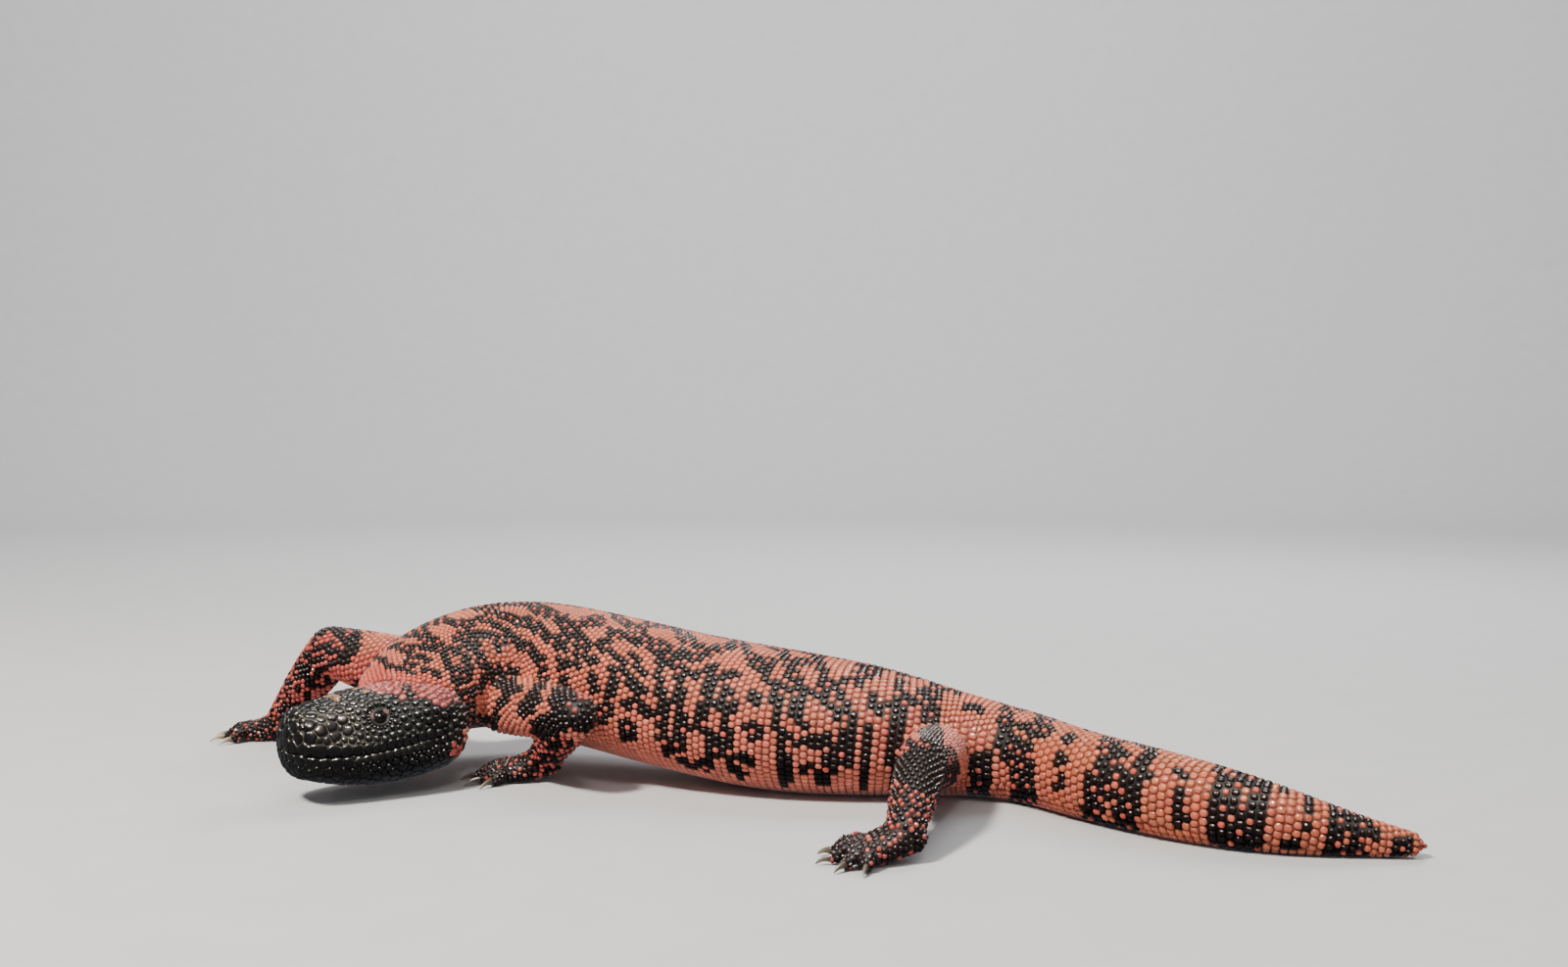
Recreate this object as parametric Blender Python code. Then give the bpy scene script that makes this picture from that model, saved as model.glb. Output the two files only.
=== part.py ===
"""Gila monster, a life-size still model of the whole lizard, resting on a flat floor.

The animal faces -X, with +Z up and its left side towards -Y. All sizes are in metres.
The trunk and tail are one loft along the spine, parted by thin cuts. The head, limbs and feet are
lofts of their own, each cut back from the surface it grows from.
"""

import math

import bmesh
import bpy
import numpy as np
from mathutils import Matrix, Vector

# Driving dimensions.
GAP = 0.0003  # left between neighbouring solids
HEAD_LENGTH = 0.062
HEAD_YAW = math.radians(42)  # the snout's turn from -X towards -Y
HEAD_PITCH = math.radians(1.5)  # how far the snout points down
SNOUT_TIP = Vector((-0.1508, -0.0262, 0.0200))  # at the height of the mouth
EYE_RADIUS = 0.0034
CLAW_ROOT_RADIUS = 0.0014
ORIGIN = Vector((0.0040, -0.0018, 0.0))  # the middle of the finished model's outline on the floor

# Resolution of the solids.
TRUNK_SIDES = 28
TRUNK_STEP = 0.0070
LIMB_SIDES = 14
TOE_SIDES = 8

# The spine from inside the head to the tail's tip: x, y, height of the middle, half width, half height.
SPINE = (
    (-0.1250, -0.0070, 0.0235, 0.0150, 0.0110),
    (-0.1160, 0.0060, 0.0260, 0.0190, 0.0145),
    (-0.1150, 0.0210, 0.0300, 0.0255, 0.0183),
    (-0.1105, 0.0370, 0.0355, 0.0280, 0.0217),
    (-0.0955, 0.0495, 0.0395, 0.0275, 0.0250),
    (-0.0745, 0.0540, 0.0390, 0.0300, 0.0266),
    (-0.0430, 0.0400, 0.0350, 0.0330, 0.0265),
    (-0.0096, 0.0220, 0.0300, 0.0350, 0.0262),
    (0.0290, 0.0071, 0.0251, 0.0350, 0.0264),
    (0.0658, -0.0010, 0.0223, 0.0300, 0.0236),
    (0.0950, -0.0030, 0.0178, 0.0225, 0.0190),
    (0.1186, -0.0150, 0.0154, 0.0172, 0.0164),
    (0.1330, -0.0380, 0.0145, 0.0151, 0.0152),
    (0.1587, -0.0685, 0.0134, 0.0140, 0.0142),
    (0.1854, -0.0861, 0.0106, 0.0113, 0.0114),
    (0.2093, -0.0915, 0.0066, 0.0070, 0.0070),
    (0.2290, -0.0955, 0.0042, 0.0036, 0.0040),
)
SPINE_EASING = 24  # steps of a millimetre to either side that each place is averaged over
TRUNK_SQUARENESS = 2.25

# Where the trunk and tail are parted, as x and y on the spine, from the head to the tail's tip.
TRUNK_CUTS = (
    (-0.1010, 0.0455),
    (-0.0096, 0.0220),
    (0.0600, 0.0000),
    (0.1080, -0.0085),
    (0.1500, -0.0600),
    (0.1960, -0.0885),
)
TRUNK_NODES = ("neck", "chest", "belly", "pelvis", "tail_base", "tail_middle", "tail_tip")

# Head sections from the snout's tip back: distance, half width, crown height, chin depth.
HEAD_SECTIONS = (
    (0.0000, 0.0130, 0.0136, 0.0100),
    (0.0060, 0.0145, 0.0149, 0.0118),
    (0.0120, 0.0160, 0.0162, 0.0138),
    (0.0200, 0.0178, 0.0174, 0.0159),
    (0.0280, 0.0194, 0.0182, 0.0172),
    (0.0380, 0.0210, 0.0188, 0.0179),
    (0.0480, 0.0217, 0.0189, 0.0176),
    (0.0580, 0.0205, 0.0178, 0.0160),
    (0.0700, 0.0150, 0.0130, 0.0115),
)
HEAD_END = 0.0585  # where the head's own node ends behind the jaws
SNOUT_ROUND = 0.0056  # length over which the snout closes
NAPE_ROUND = 0.0080  # length over which the back of the head closes
MOUTH_CORNER = 0.0470
MOUTH_DIP = 0.0026
LIP_GROOVE = 0.0010
LIP_SWELL = 0.0005

# Soft swellings of the head: distance back, degrees from the crown, height, spread back, spread round.
HEAD_SWELLINGS = (
    (0.0270, 34, 0.0014, 0.0060, 10),
    (0.0293, 58, -0.0010, 0.0042, 11),
    (0.0500, 58, 0.0014, 0.0090, 20),
    (0.0490, 112, 0.0012, 0.0100, 18),
    (0.0042, 50, 0.0007, 0.0026, 14),
    (0.0150, 62, -0.0009, 0.0045, 14),
)
EYE_DEPTH = 0.66  # share of the eye's radius that its middle lies under the head's surface
EYE_AT = (0.0293, 56)  # distance back and degrees from the crown
NOSTRIL_AT = (0.0027, 52)
EAR_AT = (0.0555, 80)

# Limbs: the joints' places and half widths, from the root to the wrist or ankle, then the foot.
LIMBS = {
    "front_left": {
        "root": ((-0.0820, 0.0330, 0.0270), 0.0122),
        "middle": ((-0.0480, -0.0125, 0.0305), 0.0086),
        "end": ((-0.0640, 0.0150, 0.0095), 0.0064),
        "palm": (-0.0755, 0.0145),
        "toes": (-58, -28, 0, 26, 52),
        "toe_lengths": (0.0075, 0.0095, 0.0105, 0.0095, 0.0075),
        "claw": 0.0080,
    },
    "front_right": {
        "root": ((-0.1050, 0.0490, 0.0315), 0.0148),
        "middle": ((-0.1630, 0.0730, 0.0425), 0.0106),
        "end": ((-0.1910, 0.0940, 0.0105), 0.0068),
        "palm": (-0.2025, 0.0965),
        "toes": (-48, -22, 2, 28, 60),
        "toe_lengths": (0.0075, 0.0095, 0.0105, 0.0095, 0.0075),
        "claw": 0.0085,
    },
    "back_left": {
        "root": ((0.0880, -0.0060, 0.0145), 0.0124),
        "middle": ((0.0750, -0.0670, 0.0245), 0.0087),
        "end": ((0.0668, -0.0985, 0.0098), 0.0063),
        "palm": (0.0560, -0.1005),
        "toes": (-70, -34, 0, 34, 66),
        "toe_lengths": (0.0080, 0.0085, 0.0085, 0.0080, 0.0065),
        "claw": 0.0065,
    },
    "back_right": {
        "root": ((0.0900, 0.0020, 0.0155), 0.0126),
        "middle": ((0.0770, 0.0560, 0.0235), 0.0088),
        "end": ((0.0950, 0.0800, 0.0098), 0.0064),
        "palm": (0.0870, 0.0885),
        "toes": (-56, -26, -2, 26, 58),
        "toe_lengths": (0.0070, 0.0085, 0.0095, 0.0095, 0.0075),
        "claw": 0.0070,
    },
}
LIMB_FULLNESS = 0.09  # how much thicker a length of limb is in its middle
PALM_HALF_WIDTH = 0.0084
PALM_HEIGHT = 0.0046
TOE_ROOT_RADIUS = 0.0029
TOE_TIP_RADIUS = 0.0022

# Colour, roughness and metallic value of each finish.
FINISHES = {
    "black_scales": ((0.012, 0.010, 0.010), 0.25, 0.0),
    "pink_beads": ((0.62, 0.20, 0.14), 0.35, 0.0),
    "limb_beads": ((0.16, 0.045, 0.035), 0.35, 0.0),
    "horn": ((0.58, 0.50, 0.36), 0.30, 0.0),
    "eye": ((0.010, 0.006, 0.005), 0.05, 0.0),
}


def clear_scene():
    for old in list(bpy.data.objects):
        bpy.data.objects.remove(old)


def collection(name, shown=True):
    made = bpy.data.collections.new(name)
    made.hide_render = not shown
    bpy.context.scene.collection.children.link(made)
    return made


def finish(name):
    colour, roughness, metallic = FINISHES[name]
    made = bpy.data.materials.get(name) or bpy.data.materials.new(name)
    made.use_nodes = True
    shader = made.node_tree.nodes["Principled BSDF"]
    shader.inputs["Base Color"].default_value = (*colour, 1.0)
    shader.inputs["Roughness"].default_value = roughness
    shader.inputs["Metallic"].default_value = metallic
    return made


def smooth_rows(rows, step):
    """Rows of numbers read from a smooth curve through the given ones, about a step apart along x, y, z."""
    rows = np.array(rows, float)
    ends = np.vstack([2 * rows[0] - rows[1], rows, 2 * rows[-1] - rows[-2]])
    made = []
    for a, b, c, d in zip(ends, ends[1:], ends[2:], ends[3:]):
        count = max(1, round(float(np.linalg.norm(c[:3] - b[:3])) / step))
        for t in np.arange(count) / count:
            bend, twist = 2 * a - 5 * b + 4 * c - d, 3 * b - a - 3 * c + d
            made.append(0.5 * (2 * b + (c - a) * t + bend * t**2 + twist * t**3))
    return np.array([*made, rows[-1]])


def directions(places):
    """The unit direction of travel at each place of a path."""
    ahead = np.gradient(np.array(places, float), axis=0)
    return ahead / np.linalg.norm(ahead, axis=1, keepdims=True)


def power(value, squareness):
    """A sine or cosine bent from a circle's towards a box's."""
    return math.copysign(abs(value) ** (2 / squareness), value)


def ring(middle, side, up, half_width, half_height, sides, squareness=2.0):
    """One closed section, starting at its top and turning towards side."""
    points = []
    for i in range(sides):
        angle = math.tau * i / sides
        point = (
            Vector(middle)
            + side * (half_width * power(math.sin(angle), squareness))
            + up * (half_height * power(math.cos(angle), squareness))
        )
        points.append(point)
    return points


def on_floor(rings):
    """The same sections with whatever reaches below the floor laid flat on it."""
    return [[Vector((p.x, p.y, max(p.z, 0.0))) for p in points] for points in rings]


def loft(name, rings, holder, tips=(None, None)):
    """A closed body through rings of points. A tip closes an end in a point, and None leaves it flat."""
    bm = bmesh.new()
    loops = [[bm.verts.new(p) for p in points] for points in rings]
    for near, far in zip(loops, loops[1:]):
        for i, corner in enumerate(near):
            j = (i + 1) % len(near)
            bm.faces.new((corner, near[j], far[j], far[i]))
    for loop, tip in zip((loops[0], loops[-1]), tips):
        if tip is None:
            bm.faces.new(loop)
            continue
        point = bm.verts.new(tip)
        for i, corner in enumerate(loop):
            bm.faces.new((corner, loop[(i + 1) % len(loop)], point))
    bmesh.ops.recalc_face_normals(bm, faces=bm.faces)
    bmesh.ops.triangulate(bm, faces=[f for f in bm.faces if len(f.verts) > 4])
    mesh = bpy.data.meshes.new(name)
    bm.to_mesh(mesh)
    bm.free()
    made = bpy.data.objects.new(name, mesh)
    holder.objects.link(made)
    return made


def applied(obj):
    """Applies the object's modifiers."""
    graph = bpy.context.evaluated_depsgraph_get()
    mesh = bpy.data.meshes.new_from_object(obj.evaluated_get(graph))
    obj.modifiers.clear()
    obj.data = mesh
    return obj


def keep_largest(obj):
    """Leaves only the object's largest closed surface."""
    bm = bmesh.new()
    bm.from_mesh(obj.data)
    left = set(bm.verts)
    shells = []
    while left:
        shell, edge = set(), {left.pop()}
        while edge:
            vert = edge.pop()
            shell.add(vert)
            near = {e.other_vert(vert) for e in vert.link_edges} & left
            left -= near
            edge |= near
        shells.append(shell)
    shells.sort(key=len)
    for shell in shells[:-1]:
        bmesh.ops.delete(bm, geom=list(shell), context="VERTS")
    bm.to_mesh(obj.data)
    bm.free()
    return obj


def combine(obj, operation, others, solver="EXACT"):
    """Joins to the object, or cuts from it, all the others at once, which are then removed."""
    group = bpy.data.collections.new("operands")
    for other in others:
        group.objects.link(other)
    boolean = obj.modifiers.new(operation.lower(), "BOOLEAN")
    boolean.operation = operation
    boolean.solver = solver
    boolean.operand_type = "COLLECTION"
    boolean.collection = group
    applied(obj)
    for other in others:
        bpy.data.objects.remove(other)
    bpy.data.collections.remove(group)
    return keep_largest(obj)


def dressed(obj, name, finish_name, holder):
    """Names a finished solid, gives it its finish and moves it to its collection."""
    obj.name = obj.data.name = name
    obj.data.materials.clear()
    obj.data.materials.append(finish(finish_name))
    obj.data.shade_smooth()
    obj.data.set_sharp_from_angle(angle=math.radians(50))
    for old in list(obj.users_collection):
        old.objects.unlink(obj)
    holder.objects.link(obj)
    return obj


def spine_rows():
    """The spine in fine steps with its bends eased, and each step's distance from the head end."""
    rows = smooth_rows(SPINE, 0.001)
    reach = SPINE_EASING
    before = [2 * rows[0] - rows[i] for i in range(reach, 0, -1)]
    after = [2 * rows[-1] - rows[-1 - i] for i in range(1, reach + 1)]
    padded = np.vstack([before, rows, after])
    weights = np.hanning(2 * reach + 3)[1:-1]
    weights /= weights.sum()
    rows = np.array([weights @ padded[i : i + 2 * reach + 1] for i in range(len(rows))])
    steps = np.linalg.norm(np.diff(rows[:, :3], axis=0), axis=1)
    return rows, np.concatenate([[0.0], np.cumsum(steps)])


def spine_distance(x, y):
    """How far along the spine its place nearest to x and y is."""
    rows, along = spine_rows()
    return along[int(np.argmin(np.hypot(rows[:, 0] - x, rows[:, 1] - y)))]


def trunk_ring(distance, grow=0.0):
    """One section of the trunk. It starts at the back's midline and turns to the left side."""
    rows, along = spine_rows()

    def row_at(place):
        return [np.interp(place, along, rows[:, column]) for column in range(5)]

    row = row_at(distance)
    forward = (Vector(row_at(distance - 0.002)[:3]) - Vector(row_at(distance + 0.002)[:3])).normalized()
    side = Vector((0, 0, 1)).cross(forward).normalized()
    up = forward.cross(side)
    return ring(row[:3], side, up, row[3] + grow, row[4] + grow, TRUNK_SIDES, TRUNK_SQUARENESS)


def trunk_distances():
    """Each trunk node's sections, as distances along the spine, with a gap between one node and the next."""
    ends = [spine_distance(x, y) for x, y in TRUNK_CUTS]
    starts = [0.0, *(end + GAP / 2 for end in ends)]
    stops = [*(end - GAP / 2 for end in ends), spine_rows()[1][-1]]
    spans = zip(TRUNK_NODES, starts, stops)
    return {
        name: list(np.linspace(start, stop, max(2, round((stop - start) / TRUNK_STEP) + 1)))
        for name, start, stop in spans
    }


def trunk(name, holder, nodes=TRUNK_NODES, grow=0.0):
    """The lengths of the trunk that nodes names, as one closed body."""
    every = trunk_distances()
    rings = [trunk_ring(distance, grow) for node in nodes for distance in every[node]]
    tail_end = Vector(SPINE[-1][:3]) + Vector((0.0035, -0.0006, -0.0005))
    return loft(name, on_floor(rings), holder, (None, tail_end if nodes[-1] == TRUNK_NODES[-1] else None))


def head_frame():
    """The head's own axes: forward, left and up."""
    forward = Vector(
        (
            -math.cos(HEAD_YAW) * math.cos(HEAD_PITCH),
            -math.sin(HEAD_YAW) * math.cos(HEAD_PITCH),
            -math.sin(HEAD_PITCH),
        )
    )
    left = Vector((0, 0, 1)).cross(forward).normalized()
    return forward, left, forward.cross(left)


def head_size(back):
    """Half width, crown height and chin depth at a distance back from the snout's tip."""
    table = np.array(HEAD_SECTIONS)
    sizes = np.array([np.interp(back, table[:, 0], table[:, column]) for column in (1, 2, 3)])
    snout = 1 - max(0.0, 1 - back / SNOUT_ROUND) ** 2.4
    nape = 1 - max(0.0, 1 - (HEAD_LENGTH + NAPE_ROUND - back) / NAPE_ROUND) ** 2.2
    return sizes * math.sqrt(max(snout, 0.0) * max(nape, 0.0))


def mouth_rise(back):
    """Height of the mouth's line above the level of the snout's tip."""
    share = min(back / MOUTH_CORNER, 1.0)
    return -MOUTH_DIP * math.sin(math.pi * share**0.75)


def head_point(back, degrees, grow=0.0):
    """A point of the head's surface. Degrees run from the crown over the left side to the chin."""
    half_width, crown, chin = head_size(back)
    angle = math.radians(degrees)
    side, height = math.sin(angle), math.cos(angle)
    squareness = 2.7 if height > 0 else 2.2
    reach = crown if height > 0 else chin
    across = Vector((power(side, squareness) * half_width, power(height, squareness) * reach))
    swell = grow
    for at, round_at, rise, spread, spread_round in HEAD_SWELLINGS:
        away = ((back - at) / spread) ** 2 + ((abs(degrees) - round_at) / spread_round) ** 2
        swell += rise * math.exp(-away)
    from_lip = abs(abs(degrees) - 90)
    closing = min(1.0, max(0.0, (MOUTH_CORNER - back) / 0.004), half_width / 0.010)
    swell += closing * LIP_SWELL * math.exp(-(((from_lip - 6) / 4) ** 2))
    swell -= closing * LIP_GROOVE * max(0.0, 1 - from_lip)
    if across.length > 0:
        across += across.normalized() * swell
    forward, left, up = head_frame()
    return SNOUT_TIP - forward * back + left * across.x + up * (across.y + mouth_rise(back) * side**2)


def head_normal(back, degrees):
    """The outward direction of the head's surface."""
    step = 0.0006
    along = head_point(back + step, degrees) - head_point(back - step, degrees)
    around = head_point(back, degrees + 2) - head_point(back, degrees - 2)
    return around.cross(along).normalized()


def head_loft(name, holder, grow=0.0):
    """The head without its openings. Degrees are closer together at the lips."""
    half = (0, 13, 26, 38, 48, 58, 68, 77, 84, 89, 90, 91, 95, 103, 114, 127, 141, 156, 169)
    angles = [*half, 180, *(-d for d in reversed(half[1:]))]
    snout = [SNOUT_ROUND * (1 - math.cos(t)) for t in np.linspace(0.22, math.pi / 2, 7)]
    body = list(np.linspace(SNOUT_ROUND, HEAD_LENGTH, 20)[1:])
    nape = [HEAD_LENGTH + NAPE_ROUND * math.sin(t) for t in np.linspace(0.4, 1.35, 4)]
    forward, _, up = head_frame()
    rings = []
    for back in (*snout, *body, *nape):
        frontward = max(0.0, 1 - back / SNOUT_ROUND) - max(0.0, (back - HEAD_LENGTH) / NAPE_ROUND)
        rings.append([head_point(back, degrees, grow) + forward * (grow * frontward) for degrees in angles])
    front = SNOUT_TIP + forward * grow
    rear = SNOUT_TIP - forward * (HEAD_LENGTH + NAPE_ROUND + grow) + up * 0.003
    return loft(name, rings, holder, (front, rear))


def ball(name, middle, radius, holder, scale=(1, 1, 1), turn=None, segments=16, rings=10):
    """A ball, or an ellipsoid whose third axis points along turn."""
    bm = bmesh.new()
    bmesh.ops.create_uvsphere(bm, u_segments=segments, v_segments=rings, radius=radius)
    facing = turn.to_track_quat("Z", "Y").to_matrix().to_4x4() if turn else Matrix.Identity(4)
    bm.transform(Matrix.Translation(middle) @ facing @ Matrix.Diagonal((*scale, 1)))
    mesh = bpy.data.meshes.new(name)
    bm.to_mesh(mesh)
    bm.free()
    made = bpy.data.objects.new(name, mesh)
    holder.objects.link(made)
    return made


def eye_middle(side):
    back, degrees = EYE_AT
    normal = head_normal(back, side * degrees)
    return head_point(back, side * degrees) - normal * (EYE_RADIUS * EYE_DEPTH), normal


def lid(side, holder):
    """The rim of both lids, a flattened ring round the eye, set into the head."""
    middle, normal = eye_middle(side)
    bm = bmesh.new()
    major, minor = EYE_RADIUS * 0.95, 0.0011
    rings = []
    facing = normal.to_track_quat("Z", "Y").to_matrix()
    for i in range(18):
        angle = math.tau * i / 18
        outward = facing @ Vector((math.cos(angle), math.sin(angle) * 0.86, 0))
        centre = middle + outward * major + normal * (EYE_RADIUS * 0.6)
        rings.append(ring(centre, outward.normalized(), normal, minor, minor, 6))
    loops = [[bm.verts.new(p) for p in points] for points in rings]
    for near, far in zip(loops, [*loops[1:], loops[0]]):
        for i, corner in enumerate(near):
            j = (i + 1) % len(near)
            bm.faces.new((corner, near[j], far[j], far[i]))
    bmesh.ops.recalc_face_normals(bm, faces=bm.faces)
    mesh = bpy.data.meshes.new("lid")
    bm.to_mesh(mesh)
    bm.free()
    made = bpy.data.objects.new("lid", mesh)
    holder.objects.link(made)
    return made


def head_openings(holder):
    """Cutters for the eye sockets, nostrils and ears."""
    cutters = []
    for side in (1, -1):
        middle, _ = eye_middle(side)
        cutters.append(ball("socket", middle, EYE_RADIUS + GAP, holder, segments=14, rings=9))
        back, degrees = NOSTRIL_AT
        normal = head_normal(back, side * degrees)
        cutters.append(
            ball("nostril", head_point(back, side * degrees), 0.0011, holder, (1.3, 0.9, 1.8), normal, 10, 6)
        )
        back, degrees = EAR_AT
        normal = head_normal(back, side * degrees)
        cutters.append(
            ball("ear", head_point(back, side * degrees), 0.0012, holder, (0.9, 2.4, 1.6), normal, 10, 6)
        )
    return cutters


def make_head(holder, workshop):
    """The head, with the front of the neck as far as the neck's own node, and the eyes."""
    head = head_loft("head", workshop)
    middle, ahead = neck_cut()
    combine(head, "UNION", [trunk("throat", workshop, TRUNK_NODES[:1])])
    combine(head, "DIFFERENCE", [half_space(middle - ahead * (GAP / 2), ahead, workshop)])
    combine(head, "UNION", [lid(side, workshop) for side in (1, -1)])
    combine(head, "DIFFERENCE", head_openings(workshop))
    dressed(head, "head", "black_scales", holder)
    for name, side in (("eye_left", 1), ("eye_right", -1)):
        middle, _ = eye_middle(side)
        dressed(ball(name, middle, EYE_RADIUS, workshop, segments=14, rings=9), name, "eye", holder)


def half_space(middle, ahead, holder):
    """A large block that starts at the plane through middle and fills the side that ahead points to."""
    size = 0.6
    bm = bmesh.new()
    bmesh.ops.create_cube(bm, size=size)
    facing = ahead.to_track_quat("Z", "Y").to_matrix().to_4x4()
    bm.transform(Matrix.Translation(middle + ahead * (size / 2)) @ facing)
    mesh = bpy.data.meshes.new("half_space")
    bm.to_mesh(mesh)
    bm.free()
    made = bpy.data.objects.new("half_space", mesh)
    holder.objects.link(made)
    return made


def neck_cut():
    """The plane that parts the head from the neck, and its direction towards the trunk."""
    forward, _, up = head_frame()
    return SNOUT_TIP - forward * HEAD_END + up * 0.002, -forward


def make_trunk(holder, workshop):
    """Neck, trunk and tail as lengths of one loft. The neck is joined to the back of the jaws."""
    for name in TRUNK_NODES:
        part = trunk(name, workshop, (name,))
        if name == "neck":
            middle, ahead = neck_cut()
            combine(part, "UNION", [head_loft("jaws", workshop)])
            combine(part, "DIFFERENCE", [half_space(middle + ahead * (GAP / 2), -ahead, workshop)])
        dressed(part, name, "pink_beads", holder)


def limb_rings(start, end, start_radius, end_radius, sides):
    """Sections of one straight length of limb, rounded at both ends and a little fuller in its first half."""
    start, end = Vector(start), Vector(end)
    ahead = (end - start).normalized()
    side = Vector((0, 0, 1)).cross(ahead).normalized()
    up = ahead.cross(side)
    rings = []
    for share in (-0.92, -0.7, -0.35):
        radius = start_radius * math.sqrt(1 - share**2)
        rings.append(ring(start + ahead * (start_radius * share), side, up, radius, radius, sides))
    for share in np.linspace(0, 1, 7):
        radius = start_radius + (end_radius - start_radius) * share
        radius *= 1 + LIMB_FULLNESS * math.sin(math.pi * share)
        rings.append(ring(start.lerp(end, share), side, up, radius, radius, sides))
    for share in (0.35, 0.7, 0.92):
        radius = end_radius * math.sqrt(1 - share**2)
        rings.append(ring(end + ahead * (end_radius * share), side, up, radius, radius, sides))
    tips = (start - ahead * start_radius, end + ahead * end_radius)
    return rings, tips


def limb_length(name, limb, first, second, holder, grow=0.0):
    """One length of a limb, between two of its joints."""
    (start, start_radius), (end, end_radius) = limb[first], limb[second]
    rings, tips = limb_rings(start, end, start_radius + grow, end_radius + grow, LIMB_SIDES)
    return loft(name, on_floor(rings), holder, tips)


def foot_heading(limb):
    wrist = Vector(limb["end"][0][:2])
    return (Vector(limb["palm"]) - wrist).normalized()


def toe_path(limb, number):
    """The middle line and radii of a toe, from inside the palm to the claw's root."""
    heading = foot_heading(limb)
    turn = math.radians(limb["toes"][number])
    length = limb["toe_lengths"][number]
    direction = Vector((heading.x, heading.y)).to_3d()
    direction.rotate(Matrix.Rotation(turn, 3, "Z"))
    across = Vector((-heading.y, heading.x, 0))
    palm = Vector((*limb["palm"], 0))
    spread = math.sin(turn) * PALM_HALF_WIDTH * 0.72
    root = palm + across * spread + heading.to_3d() * (math.cos(turn) * 0.0035)
    knuckle = 0.0046
    places = (
        (root, knuckle, TOE_ROOT_RADIUS),
        (root + direction * (length * 0.45), knuckle + 0.0006, TOE_ROOT_RADIUS * 0.98),
        (root + direction * (length * 0.8), 0.0030, TOE_ROOT_RADIUS * 0.86),
        (root + direction * length, 0.0020, TOE_TIP_RADIUS),
    )
    rows = [(place.x, place.y, height, radius) for place, height, radius in places]
    return smooth_rows(rows, length / 6), direction


def toe(name, limb, number, holder):
    rows, direction = toe_path(limb, number)
    side = Vector((0, 0, 1)).cross(direction).normalized()
    rings = []
    for row, ahead in zip(rows, directions(rows[:, :3])):
        up = Vector(ahead).cross(side)
        rings.append(ring(row[:3], side, up, row[3], row[3], TOE_SIDES))
    return loft(name, on_floor(rings), holder)


def claw(name, limb, number, holder):
    """A hooked claw that starts a gap's width beyond its toe and bends down to just above the floor."""
    rows, direction = toe_path(limb, number)
    ahead = Vector(directions(rows[:, :3])[-1])
    start = Vector(rows[-1][:3]) + ahead * GAP
    side = Vector((0, 0, 1)).cross(direction).normalized()
    rings = []
    middle = start
    steps = 6
    for i in range(steps):
        share = i / steps
        pitch = math.radians(-12 + 62 * share)
        forward = (direction * math.cos(pitch) - Vector((0, 0, 1)) * math.sin(pitch)).normalized()
        radius = CLAW_ROOT_RADIUS * (1 - share) ** 0.8
        facing = forward if i else ahead
        up = facing.cross(side)
        rings.append(ring(middle, side, up, radius * 0.8, radius, 6))
        middle = middle + forward * (limb["claw"] / steps)
        middle.z = max(middle.z, 0.0006)
    floor_clear = [[Vector((p.x, p.y, max(p.z, 0.0001))) for p in points] for points in rings]
    return loft(name, floor_clear, holder, (None, middle))


def palm(name, limb, holder):
    """The palm or sole with the wrist or ankle, a flat rounded wedge."""
    wrist, wrist_radius = limb["end"]
    wrist = Vector(wrist)
    heading = foot_heading(limb).to_3d()
    side = Vector((0, 0, 1)).cross(heading).normalized()
    middle = Vector((*limb["palm"], 0))
    rows = (
        (wrist - heading * (wrist_radius * 0.75), 0.0075, 0.0048, 0.0050),
        (wrist, wrist.z * 0.78, wrist_radius * 0.98, wrist_radius * 0.98),
        (wrist.lerp(middle, 0.6), 0.0054, PALM_HALF_WIDTH * 0.92, PALM_HEIGHT * 1.3),
        (middle, 0.0042, PALM_HALF_WIDTH, PALM_HEIGHT * 1.1),
        (middle + heading * 0.0042, 0.0038, PALM_HALF_WIDTH * 0.82, PALM_HEIGHT * 0.95),
    )
    flat = [(place.x, place.y, height, width, tall) for place, height, width, tall in rows]
    smooth = smooth_rows(flat, 0.0028)
    rings = [ring(row[:3], side, Vector((0, 0, 1)), row[3], row[4], 12) for row in smooth]
    first, last = smooth[0], smooth[-1]
    tips = (
        Vector(first[:3]) - heading * (first[3] * 0.6),
        Vector(last[:3]) + heading * 0.0028,
    )
    return loft(name, on_floor(rings), holder, tips)


def joint_plane(limb, before, joint, after):
    """The plane across a joint halfway between the two lengths that meet there."""
    middle = Vector(limb[joint][0])
    arriving = (middle - Vector(limb[before][0])).normalized()
    if after == "palm":
        leaving = foot_heading(limb).to_3d()
    else:
        leaving = (Vector(limb[after][0]) - middle).normalized()
    return middle, (arriving + leaving).normalized()


def cut_beyond(obj, plane, holder):
    middle, ahead = plane
    return combine(obj, "DIFFERENCE", [half_space(middle - ahead * (GAP / 2), ahead, holder)])


def cut_before(obj, plane, holder):
    middle, ahead = plane
    return combine(obj, "DIFFERENCE", [half_space(middle + ahead * (GAP / 2), -ahead, holder)])


def make_foot(place, limb, holder, workshop):
    """A foot with its five toes, and the claws beyond them."""
    kind = "hand" if place.startswith("front") else "foot"
    foot = palm("foot", limb, workshop)
    combine(foot, "UNION", [toe("toe", limb, number, workshop) for number in range(5)])
    cut_before(foot, joint_plane(limb, "middle", "end", "palm"), workshop)
    dressed(foot, f"{kind}_{place}", "limb_beads", holder)
    for number in range(5):
        name = f"claw_{place}_{number + 1}"
        dressed(claw(name, limb, number, workshop), name, "horn", holder)


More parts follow.
